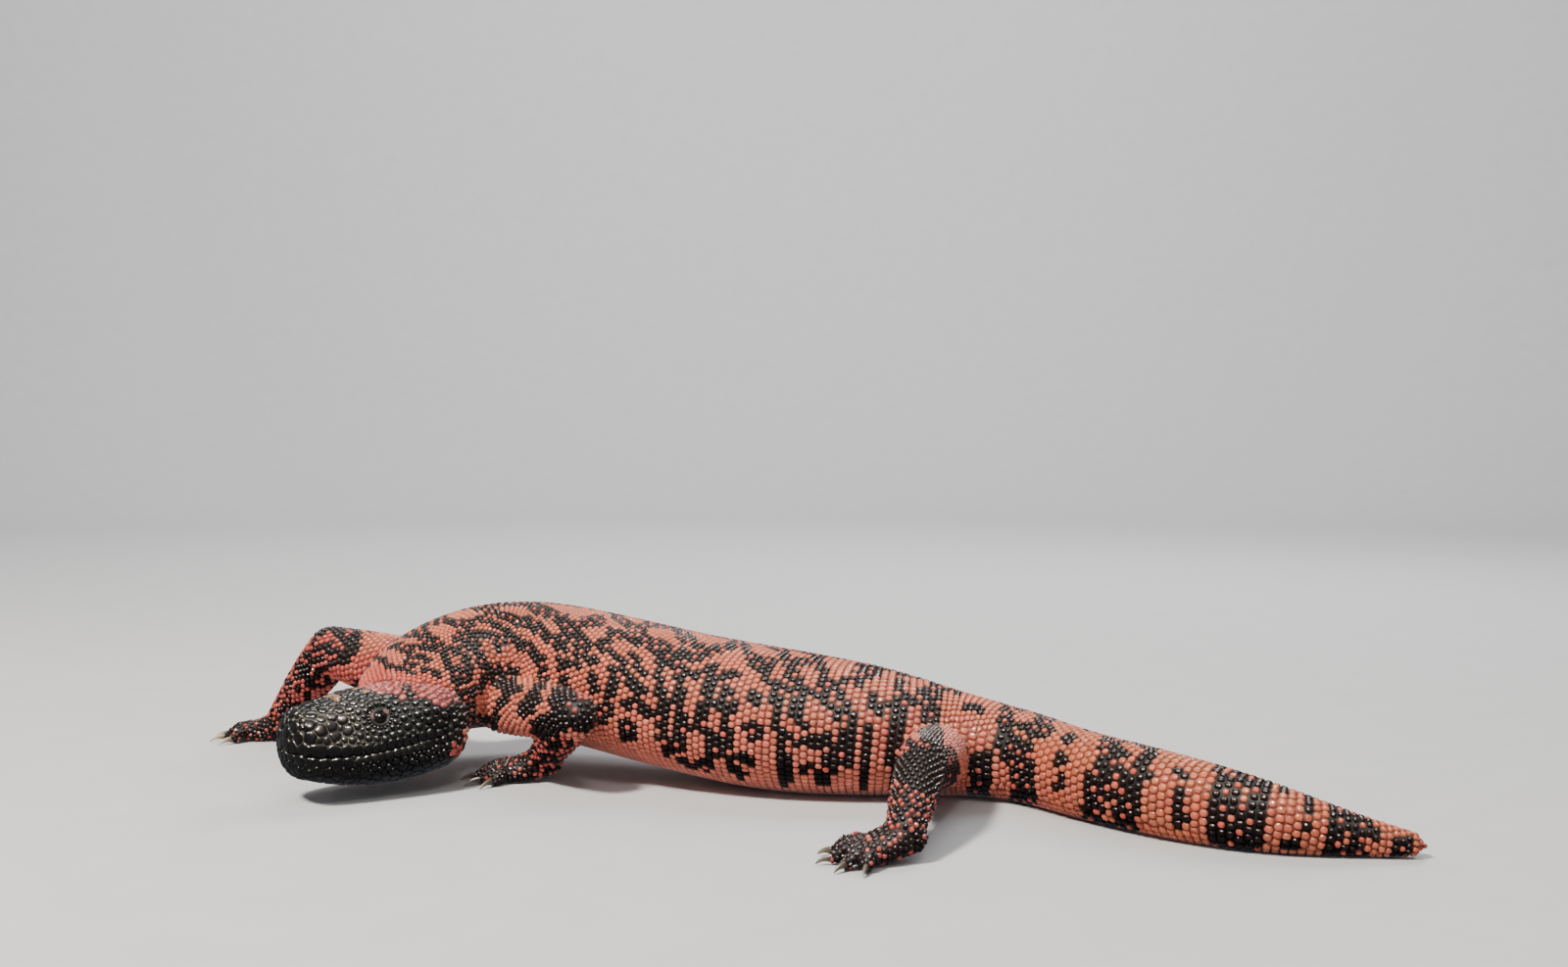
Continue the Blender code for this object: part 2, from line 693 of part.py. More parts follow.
def make_limb(place, holder, workshop):
    """A limb in two lengths and a foot, parted by planes across its joints."""
    limb = LIMBS[place]
    upper_name, lower_name = ("upper_arm", "forearm") if place.startswith("front") else ("thigh", "shin")
    knee = joint_plane(limb, "root", "middle", "end")
    upper = limb_length("upper", limb, "root", "middle", workshop)
    combine(upper, "DIFFERENCE", [trunk("room", workshop, grow=GAP)])
    combine(upper, "DIFFERENCE", [head_loft("room", workshop, GAP)])
    cut_beyond(upper, knee, workshop)
    dressed(upper, f"{upper_name}_{place}", "limb_beads", holder)
    lower = limb_length("lower", limb, "middle", "end", workshop)
    cut_before(lower, knee, workshop)
    cut_beyond(lower, joint_plane(limb, "middle", "end", "palm"), workshop)
    dressed(lower, f"{lower_name}_{place}", "limb_beads", holder)
    make_foot(place, limb, holder, workshop)


def main():
    clear_scene()
    holder = collection("gila_monster")
    workshop = collection("workshop")
    make_head(holder, workshop)
    make_trunk(holder, workshop)
    for place in LIMBS:
        make_limb(place, holder, workshop)
    for solid in holder.objects:
        solid.data.transform(Matrix.Translation(-ORIGIN))
    bpy.data.collections.remove(workshop)


main()
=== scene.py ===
"""Looks of the life-size gila monster: one skin, its beads and head plates, eyes and claws.

The forms repeat the solids' own formulas at a finer scale, in metres, with the head towards -X, +Z up
and the animal's left side towards -Y. Every scale grows from a seed, a point on the skin, and reaches
halfway to its neighbours. The markings are strokes read along the photograph's left side, and
are carried on to the parts that it hides.
"""

import itertools
import math

import bmesh
import bpy
import numpy as np
from mathutils import Matrix, Vector, kdtree
from mathutils.bvhtree import BVHTree


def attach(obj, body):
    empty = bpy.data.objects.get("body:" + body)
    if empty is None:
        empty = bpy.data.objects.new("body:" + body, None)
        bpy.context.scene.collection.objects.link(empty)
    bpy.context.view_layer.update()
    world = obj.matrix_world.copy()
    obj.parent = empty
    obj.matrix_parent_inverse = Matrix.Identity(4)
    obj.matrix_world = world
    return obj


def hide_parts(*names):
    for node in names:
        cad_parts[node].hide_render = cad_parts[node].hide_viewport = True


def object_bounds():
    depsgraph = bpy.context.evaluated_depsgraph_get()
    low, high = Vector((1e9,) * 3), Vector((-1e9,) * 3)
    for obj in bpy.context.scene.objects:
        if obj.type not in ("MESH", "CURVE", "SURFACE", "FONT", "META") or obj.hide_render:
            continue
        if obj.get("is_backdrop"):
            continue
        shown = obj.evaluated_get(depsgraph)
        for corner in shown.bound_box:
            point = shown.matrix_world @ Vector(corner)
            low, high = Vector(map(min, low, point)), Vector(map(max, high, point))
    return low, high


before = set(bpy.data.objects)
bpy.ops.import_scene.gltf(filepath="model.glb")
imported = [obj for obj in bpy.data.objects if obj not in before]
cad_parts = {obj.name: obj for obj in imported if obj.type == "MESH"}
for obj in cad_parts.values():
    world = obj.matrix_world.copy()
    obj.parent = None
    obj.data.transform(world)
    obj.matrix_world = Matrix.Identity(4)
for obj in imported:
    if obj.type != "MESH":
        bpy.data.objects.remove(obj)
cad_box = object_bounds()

# The camera of the photograph.
PHOTO_WIDTH, PHOTO_HEIGHT = 1600, 987
CAMERA_PLACE = np.array((0.0250, -0.5707, 0.1316))
CAMERA_PITCH = math.radians(1.6)  # how far it looks down
FOCAL_PIXELS = 1555.0
SENSOR_WIDTH = 36.0

# Sizes of the solids.
ORIGIN = np.array((0.0040, -0.0018, 0.0))
HEAD_LENGTH = 0.062
HEAD_YAW = math.radians(42)
HEAD_PITCH = math.radians(1.5)
SNOUT_TIP = np.array((-0.1508, -0.0262, 0.0200)) - ORIGIN
EYE_RADIUS = 0.0034
EYE_DEPTH = 0.66
EYE_AT = (0.0293, 56)
NOSTRIL_AT = (0.0027, 52)
EAR_AT = (0.0555, 80)
CLAW_ROOT_RADIUS = 0.0014
HOLLOW_REACH = 0.006  # the head's other side isn't moved
# The hollows of eye, nostril and ear: place, whether it is longer upright, radius, stretch and depth.
HOLLOWS = (
    (EYE_AT, False, EYE_RADIUS * 0.95, 1.10, EYE_RADIUS * 1.2),
    (NOSTRIL_AT, True, 0.0009, 1.35, 0.0022),
    (EAR_AT, True, 0.0007, 2.80, 0.0018),
)

# The spine from inside the head to the tail's tip: x, y, height of the middle, half width, half height.
SPINE = (
    (-0.1250, -0.0070, 0.0235, 0.0150, 0.0110),
    (-0.1160, 0.0060, 0.0260, 0.0190, 0.0145),
    (-0.1150, 0.0210, 0.0300, 0.0255, 0.0183),
    (-0.1105, 0.0370, 0.0355, 0.0280, 0.0217),
    (-0.0955, 0.0495, 0.0395, 0.0275, 0.0250),
    (-0.0745, 0.0540, 0.0390, 0.0300, 0.0266),
    (-0.0430, 0.0400, 0.0350, 0.0330, 0.0265),
    (-0.0096, 0.0220, 0.0300, 0.0350, 0.0262),
    (0.0290, 0.0071, 0.0251, 0.0350, 0.0264),
    (0.0658, -0.0010, 0.0223, 0.0300, 0.0236),
    (0.0950, -0.0030, 0.0178, 0.0225, 0.0190),
    (0.1186, -0.0150, 0.0154, 0.0172, 0.0164),
    (0.1330, -0.0380, 0.0145, 0.0151, 0.0152),
    (0.1587, -0.0685, 0.0134, 0.0140, 0.0142),
    (0.1854, -0.0861, 0.0106, 0.0113, 0.0114),
    (0.2093, -0.0915, 0.0066, 0.0070, 0.0070),
    (0.2290, -0.0955, 0.0042, 0.0036, 0.0040),
)
SPINE_EASING = 24  # millimetres of the spine before and after that a bend is eased over
TRUNK_SQUARENESS = 2.25

# Head sections from the snout's tip back: distance, half width, crown height, chin depth.
HEAD_SECTIONS = (
    (0.0000, 0.0130, 0.0136, 0.0100),
    (0.0060, 0.0145, 0.0149, 0.0118),
    (0.0120, 0.0160, 0.0162, 0.0138),
    (0.0200, 0.0178, 0.0174, 0.0159),
    (0.0280, 0.0194, 0.0182, 0.0172),
    (0.0380, 0.0210, 0.0188, 0.0179),
    (0.0480, 0.0217, 0.0189, 0.0176),
    (0.0580, 0.0205, 0.0178, 0.0160),
    (0.0700, 0.0150, 0.0130, 0.0115),
)
CROWN_SQUARENESS, CHIN_SQUARENESS = 2.7, 2.2
SNOUT_ROUND = 0.0056
NAPE_ROUND = 0.0080
MOUTH_CORNER = 0.0470
MOUTH_DIP = 0.0026
LIP_SWELL = 0.0005
# Swellings of the head: distance back, degrees from the crown, height, and the spread of each.
HEAD_SWELLINGS = (
    (0.0270, 34, 0.0014, 0.0060, 10),
    (0.0293, 58, -0.0010, 0.0042, 11),
    (0.0500, 58, 0.0014, 0.0090, 20),
    (0.0490, 112, 0.0012, 0.0100, 18),
    (0.0042, 50, 0.0007, 0.0026, 14),
    (0.0150, 62, -0.0009, 0.0045, 14),
)

# Limbs: the joints' places and half widths, from the root to the wrist or ankle, then the foot.
LIMBS = {
    "front_left": {
        "root": ((-0.0820, 0.0330, 0.0270), 0.0122),
        "middle": ((-0.0480, -0.0125, 0.0305), 0.0086),
        "end": ((-0.0640, 0.0150, 0.0095), 0.0064),
        "palm": (-0.0755, 0.0145),
        "toes": (-58, -28, 0, 26, 52),
        "toe_lengths": (0.0075, 0.0095, 0.0105, 0.0095, 0.0075),
        "claw": 0.0080,
    },
    "front_right": {
        "root": ((-0.1050, 0.0490, 0.0315), 0.0148),
        "middle": ((-0.1630, 0.0730, 0.0425), 0.0106),
        "end": ((-0.1910, 0.0940, 0.0105), 0.0068),
        "palm": (-0.2025, 0.0965),
        "toes": (-48, -22, 2, 28, 60),
        "toe_lengths": (0.0075, 0.0095, 0.0105, 0.0095, 0.0075),
        "claw": 0.0085,
    },
    "back_left": {
        "root": ((0.0880, -0.0060, 0.0145), 0.0124),
        "middle": ((0.0750, -0.0670, 0.0245), 0.0087),
        "end": ((0.0668, -0.0985, 0.0098), 0.0063),
        "palm": (0.0560, -0.1005),
        "toes": (-70, -34, 0, 34, 66),
        "toe_lengths": (0.0080, 0.0085, 0.0085, 0.0080, 0.0065),
        "claw": 0.0065,
    },
    "back_right": {
        "root": ((0.0900, 0.0020, 0.0155), 0.0126),
        "middle": ((0.0770, 0.0560, 0.0235), 0.0088),
        "end": ((0.0950, 0.0800, 0.0098), 0.0064),
        "palm": (0.0870, 0.0885),
        "toes": (-56, -26, -2, 26, 58),
        "toe_lengths": (0.0070, 0.0085, 0.0095, 0.0095, 0.0075),
        "claw": 0.0070,
    },
}
LIMB_FULLNESS = 0.09
PALM_HALF_WIDTH = 0.0084
PALM_HEIGHT = 0.0046
TOE_ROOT_RADIUS = 0.0029
TOE_TIP_RADIUS = 0.0022

# How the looks are made.
SKIN_DEPTH = 0.0009  # the skin lies this far inside the solids, and the beads fill the rest
FOOT_SKIN_DEPTH = 0.0005
HEAD_SKIN_DEPTH = 0.0006
SKIN_STEP = 0.0010  # size of the skin's own faces
FLOOR_LEVEL = 0.0002  # the skin stays this high, and the beads reach down to the floor
NEIGHBOURS = 14  # how many scales round one are looked at
PROFILE_STEPS = 12  # corners round one bead
PLATE_STEPS = 24  # corners round one head plate
GROOVE = 0.00010  # half the width of the groove between two scales
PATCH = 0.0030  # width of a scale's patch on the bake's map
SEED = 7
MOUTH_GAP = -0.00022  # half the gap between the lips' plates, below zero as they reach past the line
SEEN = 0.06  # how squarely a place faces the camera before its marks are read from the photograph
MIRROR_SHIFT = 0.010  # share of a part's length that the far side's marks are shifted by

UP = np.array((0.0, 0.0, 1.0))

# How the beads lie.
BEAD_HEIGHT = 0.00084
BELLY_FLATTER = 0.45
UPPER_LIMB_PITCH = 0.0026
LOWER_LIMB_PITCH = 0.0024
BACK_LIMBS_FINER = 0.0002
LIMB_BEAD_HEIGHT = 0.00085
PALM_PITCH, PALM_BEAD_HEIGHT = 0.0021, 0.00055
TOE_PITCH, TOE_BEAD_HEIGHT = 0.0019, 0.00050
OFF_SKIN = 0.0014  # a bead's place further than this from the skin isn't on it
ROW_CLOSENESS = 0.92  # rows lie this much closer than the beads of one row
# Beads in the gaps between two parts' rows: the largest, the largest behind the ears, and height.
GAP_BEAD, GAP_BEAD_ON_HEAD, GAP_BEAD_HEIGHT = 0.0017, 0.0010, 0.0007
MOUTH_STEP = 0.0011  # the distance between the unseen seeds that keep the mouth's line free
MOUTH_SEEDS_END, LIPS_END = 0.012, 0.0135  # how far these and the lips' plates stop before the line's end
# The scales of the head by zone, the first that fits: least and most distance back, least and most degrees
# from the crown, then their radius, height and flatness.
HEAD_ZONES = (
    (-1, 1, 112, 181, 0.00165, 0.00045, 0.80),
    (0.0500, 1, -1, 45, 0.00140, 0.00070, 0.20),
    (0.0360, 1, -1, 100, 0.00165, 0.00105, 0.00),
    (-1, 0.0110, -1, 181, 0.00235, 0.00060, 0.80),
    (-1, 0.0180, -1, 181, 0.00190, 0.00065, 0.65),
    (-1, 1, -1, 40, 0.00170, 0.00075, 0.45),
    (-1, 1, -1, 181, 0.00135, 0.00075, 0.15),
)
# The head is filled with whole scales first, then with granules in the gaps: size and closeness.
HEAD_FILLS = ((1.0, 0.86), (0.55, 0.72))
# The rings of granules round an eye: radius, distance in the eye's radii, height and count.
EYE_GRANULES = ((0.00062, 1.26, 0.0006, 20), (0.00105, 1.76, 0.0009, 15))
# The rows of plates along the upper and the lower lip: spacing, height over the mouth, first place, radius.
LIP_ROWS = ((0.0053, 0.0030, 0.0056, 0.0026), (0.0047, -0.0024, 0.0050, 0.00235))

# Colours of the beads.
JET = (0.0030, 0.0027, 0.0025)
BLACK = (0.0062, 0.0028, 0.0024)
SOOT = (0.0140, 0.0065, 0.0060)
PINK = (0.570, 0.138, 0.088)
RED = (0.450, 0.075, 0.058)
MAUVE = (0.440, 0.085, 0.090)
PALE = (0.330, 0.140, 0.085)
ROSE = (0.560, 0.100, 0.075)
# pale seams of the snout: partly their own paler colour, partly a painted highlight where the plates' rims
# catch the light
PALE_SUTURE_AND_GLINT = (0.115, 0.094, 0.060)
# How the pinks differ from place to place, as shares of red, green and blue.
BACK_WARMER = np.array((0.10, 0.26, 0.04))
BELLY_DULLER = np.array((0.10, -0.04, -0.10))
TAIL_DULLER = np.array((0.14, 0.17, 0.30))
TAIL_FROM, TAIL_BLEND = 0.64, 0.10  # shares of the spine's length
SHADE_VARIES, HUE_VARIES = 0.09, 0.04
DARK, BRIGHT = 0.1, 0.2  # a colour is dark below the one in all its channels, bright over the other in red
ROSE_SHARE = 0.30  # of the beads inside the trunk's black bands
LID = (0.200, 0.095, 0.080)
LID_GREY = (0.070, 0.062, 0.060)
CLAW_ROOT = np.array((0.045, 0.026, 0.018))
CLAW_TIP = np.array((0.62, 0.52, 0.36))
LEFT_CLAWS_DARKER = 0.30
SKIN_PAINTED_SHADE = 0.45  # how bright the skin is beside the scales on it, as painted shade in the grooves between them
SEAM_AND_GLINT_END, SEAM_AND_GLINT_FADE = 0.030, 0.014  # how far back the snout's pale seams reach, partly a painted highlight, and over what they fade
DARK_ROUND_NOSTRIL, DARK_ROUND_MOUTH = 0.0018, 0.0011  # where there are none
# The eye from its middle outwards: share of its radius, and colour.
IRIS = (
    (0.34, (0.002, 0.002, 0.002)),
    (0.42, (0.012, 0.006, 0.004)),
    (0.66, (0.006, 0.004, 0.003)),
    (0.78, (0.006, 0.005, 0.005)),
)

# The studio: a round floor that bends up into a wall, and the lamps: name, place, size, power and colour.
FLOOR_REACH, WALL_HEIGHT, WALL_BEND, FLOOR_SIDES = 3.2, 2.6, 1.2, 96
SKY_COLOUR, SKY_STRENGTH = (0.86, 0.90, 1.0, 1), 0.13
LAMPS = (
    ("key", (-0.60, -0.55, 1.15), 0.20, 30.0, (1.0, 0.95, 0.87)),
    ("sparkle", (0.20, -0.72, 1.08), 0.13, 60.0, (1.0, 0.96, 0.90)),
    ("rim", (0.60, 0.80, 0.95), 0.60, 7.0, (0.92, 0.96, 1.0)),
    ("backdrop", (0.0, 1.2, 2.1), 1.6, 60.0, (1.0, 1.0, 1.0)),
    ("backdrop_near", (0.0, -1.2, 2.1), 1.6, 26.0, (1.0, 1.0, 1.0)),
)

# Strokes along the photograph's left side, in order, each later one over the ones before: colour, width
# and the stroke's points, all in the photograph's pixels.
TRUNK_STROKES = (
    # The neck and the shoulder.
    (ROSE, 26, (318, 690), (345, 684), (385, 690), (430, 697), (462, 716)),
    (BLACK, 8, (323, 695), (325, 697)),
    (BLACK, 3, (343, 687), (352, 683)),
    (BLACK, 4, (364, 681), (372, 678)),
    (BLACK, 5, (383, 671), (393, 675)),
    (BLACK, 3, (396, 681), (409, 682)),
    (BLACK, 3, (413, 684), (421, 688)),
    (BLACK, 3, (415, 677), (424, 680)),
    (BLACK, 3, (433, 684), (441, 685), (448, 690)),
    (BLACK, 5, (409, 662), (417, 668), (428, 671), (438, 674)),
    (BLACK, 10, (422, 645), (431, 642)),
    (BLACK, 5, (414, 649), (424, 640), (436, 637), (447, 635), (452, 629), (456, 625), (466, 623)),
    (BLACK, 6, (450, 632), (465, 637), (478, 637), (486, 634), (494, 633), (501, 635), (509, 641)),
    (BLACK, 6, (482, 619), (491, 621), (500, 624), (512, 628), (522, 633)),
    (BLACK, 4, (497, 620), (512, 617), (531, 617), (544, 620)),
    (BLACK, 9, (519, 631), (529, 636), (538, 635)),
    (BLACK, 9, (544, 620), (553, 624), (563, 628), (571, 631)),
    (BLACK, 9, (540, 634), (547, 640), (555, 648), (565, 655), (574, 655)),
    (BLACK, 6, (478, 640), (483, 645), (491, 647), (500, 649), (507, 653), (511, 657), (507, 663)),
    (BLACK, 7, (508, 657), (519, 657)),
    (BLACK, 9, (517, 646), (524, 652), (531, 657), (538, 661), (545, 668), (552, 674), (555, 684),
     (553, 699)),
    (BLACK, 11, (469, 651), (474, 655), (476, 662)),
    (BLACK, 8, (478, 648), (483, 656), (486, 663), (490, 671), (494, 678), (497, 684)),
    (BLACK, 6, (395, 660), (410, 661), (424, 661), (440, 660), (452, 663), (462, 664), (472, 667),
     (478, 675)),
    (BLACK, 6, (430, 650), (436, 654), (444, 656)),
    (BLACK, 4, (432, 648), (444, 652), (452, 661)),
    (BLACK, 7, (452, 667), (456, 677), (461, 685), (465, 693), (467, 701), (472, 709)),
    (BLACK, 13, (467, 688), (474, 690), (478, 684)),
    (BLACK, 6, (478, 674), (478, 690)),
    (BLACK, 6, (493, 680), (494, 690), (489, 703), (483, 707), (481, 716), (480, 732), (494, 735),
     (503, 733)),
    (BLACK, 22, (504, 690), (518, 691)),
    (BLACK, 7, (509, 701), (521, 705), (530, 704)),
    (BLACK, 6, (521, 707), (513, 715), (508, 724), (505, 734), (504, 742)),
    (BLACK, 7, (472, 729), (478, 740), (488, 742), (493, 746), (491, 755)),
    (BLACK, 4, (475, 706), (476, 720), (475, 729)),
    (BLACK, 5, (466, 716), (467, 740), (466, 765)),
    # Behind the shoulder.
    (BLACK, 10, (577, 634), (578, 645), (574, 656), (575, 668), (577, 682), (575, 695), (577, 706)),
    (PINK, 5, (574, 669), (574, 670)),
    (PINK, 5, (577, 685), (577, 686)),
    (BLACK, 4, (580, 636), (592, 637)),
    (BLACK, 9, (597, 635), (612, 634)),
    (BLACK, 6, (585, 643), (594, 650), (598, 657), (607, 659), (614, 657)),
    (BLACK, 10, (613, 656), (619, 656)),
    (BLACK, 5, (586, 645), (590, 655), (591, 665), (589, 674)),
    (BLACK, 8, (577, 677), (588, 678), (596, 673), (609, 673)),
    (BLACK, 16, (606, 664), (617, 668), (624, 682), (622, 700), (614, 714), (616, 728)),
    (BLACK, 5, (602, 688), (606, 696), (605, 708)),
    (PINK, 7, (605, 664), (606, 665)),
    (PINK, 9, (613, 669), (615, 670)),
    (PINK, 7, (623, 675), (616, 681)),
    (PINK, 6, (619, 690), (613, 695)),
    (PINK, 8, (615, 706), (611, 717)),
    (BLACK, 7, (624, 668), (632, 672), (636, 682), (641, 690), (645, 696)),
    (BLACK, 7, (623, 646), (633, 648), (644, 652), (655, 656), (662, 661), (670, 668), (675, 676)),
    (BLACK, 6, (626, 630), (635, 635), (646, 640), (654, 645), (662, 653), (671, 656), (677, 659)),
    (BLACK, 9, (651, 643), (657, 643)),
    (BLACK, 6, (646, 670), (651, 677), (655, 686)),
    (BLACK, 8, (650, 702), (655, 706)),
    (BLACK, 9, (640, 720), (650, 719), (660, 725), (670, 728), (678, 727)),
    (BLACK, 14, (638, 743), (644, 747)),
    (BLACK, 7, (639, 740), (640, 754)),
    # The middle of the trunk.
    (BLACK, 27, (682, 672), (685, 700), (685, 735), (687, 752)),
    (BLACK, 9, (676, 750), (680, 768)),
    (PINK, 6, (681, 683), (684, 698), (685, 710)),
    (PINK, 6, (686, 722), (684, 735), (683, 747)),
    (BLACK, 4, (658, 639), (670, 639), (682, 641), (696, 647)),
    (BLACK, 11, (696, 651), (706, 656)),
    (BLACK, 7, (712, 662), (722, 663), (732, 663), (741, 661), (750, 658), (761, 663)),
    (BLACK, 7, (698, 667), (704, 671), (716, 671), (722, 667)),
    (BLACK, 8, (694, 681), (705, 688), (716, 690), (722, 682), (729, 683), (735, 689), (753, 689)),
    (BLACK, 27, (732, 697), (731, 720), (731, 742), (732, 760)),
    (BLACK, 8, (742, 696), (744, 720), (751, 721)),
    (BLACK, 7, (715, 718), (715, 742), (702, 744), (690, 740)),
    (PINK, 7, (733, 701), (732, 714)),
    (PINK, 7, (732, 727), (724, 733), (730, 741)),
    (PINK, 6, (739, 697), (739, 698)),
    (BLACK, 8, (694, 758), (698, 763)),
    (BLACK, 8, (697, 775), (707, 780), (721, 776), (723, 783)),
    (BLACK, 13, (767, 745), (771, 748)),
    (BLACK, 10, (767, 714), (769, 715)),
    (BLACK, 4, (770, 706), (776, 716)),
    (BLACK, 7, (744, 784), (745, 775), (752, 772), (760, 774), (767, 778)),
    (BLACK, 7, (748, 785), (758, 791)),
    (BLACK, 11, (766, 672), (773, 678), (789, 679)),
    (BLACK, 9, (779, 685), (784, 695), (793, 702)),
    (BLACK, 6, (779, 657), (791, 661), (800, 664)),
    (BLACK, 10, (800, 662), (801, 674), (804, 681), (812, 691), (816, 702)),
    (BLACK, 25, (804, 698), (805, 715), (806, 735), (805, 752)),
    (BLACK, 10, (793, 702), (795, 737), (798, 755), (802, 773), (801, 797)),
    (PINK, 6, (795, 680), (796, 687), (788, 690)),
    (PINK, 6, (797, 694), (807, 699)),
    (PINK, 7, (804, 712), (804, 723), (804, 733), (803, 746)),
    (PINK, 6, (812, 741), (810, 752), (807, 763)),
    (BLACK, 8, (811, 705), (824, 706), (837, 706), (851, 704)),
    (BLACK, 6, (802, 677), (816, 676), (828, 677), (834, 673)),
    (BLACK, 5, (821, 665), (839, 667), (856, 669), (867, 673)),
    (BLACK, 10, (832, 671), (834, 673)),
    (BLACK, 7, (839, 681), (842, 691), (840, 697)),
    (BLACK, 9, (810, 717), (813, 730), (819, 742)),
    (BLACK, 9, (814, 758), (825, 753), (833, 758), (842, 753), (850, 758)),
    (BLACK, 8, (824, 786), (830, 785), (837, 790), (834, 797), (843, 792)),
    (BLACK, 9, (845, 778), (851, 774), (858, 773)),
    # The loins.
    (BLACK, 7, (840, 699), (852, 699), (862, 696), (874, 694), (878, 697)),
    (BLACK, 8, (880, 679), (888, 683), (893, 680), (901, 682)),
    (BLACK, 6, (876, 688), (889, 690), (893, 688)),
    (BLACK, 20, (850, 706), (856, 722), (858, 740), (856, 758), (856, 772)),
    (BLACK, 9, (840, 714), (846, 722), (866, 726), (866, 745), (862, 778)),
    (PINK, 6, (852, 711), (855, 719)),
    (PINK, 6, (848, 732), (849, 746)),
    (PINK, 6, (857, 741), (855, 752)),
    (BLACK, 9, (843, 775), (846, 785), (844, 795)),
    (BLACK, 7, (886, 745), (885, 765), (884, 785), (880, 803)),
    (BLACK, 8, (888, 710), (891, 719), (895, 723), (903, 725), (913, 723)),
    (BLACK, 10, (922, 712), (918, 727), (915, 740), (916, 757), (908, 770), (913, 782), (914, 805)),
    (BLACK, 8, (915, 683), (922, 688), (932, 688), (937, 691)),
    (BLACK, 12, (920, 700), (926, 706), (932, 713), (949, 713), (956, 708)),
    (PINK, 6, (927, 702), (935, 707)),
    (PINK, 7, (940, 710), (941, 711)),
    (BLACK, 9, (943, 708), (956, 703), (968, 702), (977, 705)),
    (BLACK, 14, (949, 713), (950, 730), (952, 745)),
    (BLACK, 14, (925, 770), (940, 765), (960, 780), (940, 800)),
    (BLACK, 6, (984, 722), (1001, 725)),
    (BLACK, 21, (999, 776), (1001, 795), (998, 812)),
    # The tail's bands.
    (BLACK, 34, (1040, 726), (1036, 745), (1036, 765)),
    (BLACK, 22, (1056, 734), (1064, 744)),
    (BLACK, 24, (1040, 770), (1044, 795), (1044, 815)),
    (PINK, 6, (1036, 747), (1043, 751)),
    (PINK, 6, (1038, 732), (1052, 732)),
    (BLACK, 9, (1090, 755), (1092, 755)),
    (BLACK, 9, (1081, 775), (1083, 775)),
    (BLACK, 8, (1085, 793), (1081, 801)),
    (BLACK, 54, (1153, 762), (1146, 785), (1136, 802), (1133, 822), (1133, 842)),
    (PINK, 8, (1149, 763), (1160, 767)),
    (PINK, 7, (1143, 778), (1155, 778)),
    (PINK, 7, (1137, 800), (1138, 801)),
    (PINK, 8, (1133, 817), (1131, 834)),
    (BLACK, 10, (1205, 790), (1207, 790)),
    (BLACK, 10, (1201, 812), (1201, 836), (1210, 836)),
    (BLACK, 58, (1270, 790), (1266, 820), (1262, 856)),
    (PINK, 7, (1254, 788), (1256, 788)),
    (PINK, 8, (1274, 807), (1273, 827)),
    (PINK, 9, (1258, 839), (1260, 839)),
    (BLACK, 8, (1311, 806), (1312, 807)),
    (BLACK, 9, (1338, 817), (1333, 824)),
    (BLACK, 8, (1336, 845), (1337, 846)),
    (BLACK, 8, (1309, 859), (1320, 861)),
    (BLACK, 42, (1379, 832), (1374, 855), (1370, 880)),
    (PINK, 6, (1375, 855), (1376, 856)),
    (BLACK, 8, (1402, 850), (1403, 851)),
    (BLACK, 18, (1432, 862), (1428, 885)),
)
# The spacing of the trunk's beads at shares of its length.
PITCH_SHARES = (0.0, 0.14, 0.28, 0.62, 0.74, 0.92, 1.0)
PITCHES = (0.0020, 0.0022, 0.0025, 0.0027, 0.0029, 0.0027, 0.0021)
# The trunk's beads in pieces, by the share of its length.
TRUNK_PIECES = (
    ("neck", -1, 0.13),
    ("shoulder", 0.13, 0.25),
    ("chest", 0.25, 0.38),
    ("middle", 0.38, 0.52),
    ("back", 0.52, 0.70),
    ("tail", 0.70, 2),
)
BEAD_PIXELS = 5200.0  # no stroke is much narrower than a bead, in pixels for each metre of its radius
LEAST_LIMIT = 7.2  # but that never asks for more pixels than this
PINK_LEAST = 1.35  # how much wider than that the narrowest pink strokes are
BLACK_SPREAD = 2.0  # pixels that every black stroke is wider by
# Where the near limbs' upper parts carry the trunk's own strokes, over this ground.
TRUNK_ON_LIMBS = {
    "upper_front_left": ((PINK, 40, (520, 700), (560, 720)),),
    "upper_back_left": ((PINK, 56, (925, 725), (975, 735)),),
}
LIMB_STROKES = {
    "upper_front_left": (
        (BLACK, 15, (545, 711), (536, 724)),
        (BLACK, 26, (575, 713), (598, 720)),
        (BLACK, 24, (563, 738), (580, 730), (600, 735)),
        (BLACK, 12, (548, 743), (562, 748)),
        (RED, 9, (583, 722), (585, 723)),
        (RED, 9, (594, 712), (595, 713)),
    ),
    "lower_front_left": ((BLACK, 34, (572, 720), (600, 730)), (BLACK, 10, (604, 745), (598, 770))),
    "upper_back_left": (
        (PINK, 40, (985, 730), (1005, 745)),
        (BLACK, 20, (946, 745), (952, 752)),
        (RED, 6, (920, 760), (932, 767)),
        (RED, 6, (936, 758), (944, 764)),
        (RED, 5, (918, 769), (930, 772)),
        (PINK, 11, (974, 757), (983, 775), (984, 790), (976, 806)),
    ),
    "lower_back_left": ((BLACK, 46, (930, 778), (955, 788)),),
    "upper_front_right": (
        (PINK, 30, (395, 640), (392, 680)),
        (PINK, 15, (376, 636), (373, 655), (366, 668)),
        (ROSE, 24, (330, 699), (350, 688), (368, 680), (385, 676)),
        (BLACK, 13, (320, 644), (332, 640), (350, 641), (361, 648), (359, 662), (350, 672)),
        (RED, 5, (333, 648), (341, 650)),
        (RED, 5, (326, 653), (335, 654)),
        (RED, 4, (356, 646), (357, 647)),
        (RED, 4, (349, 662), (350, 663)),
    ),
    "lower_front_right": ((BLACK, 14, (318, 645), (345, 642)), (BLACK, 8, (308, 682), (318, 696))),
}
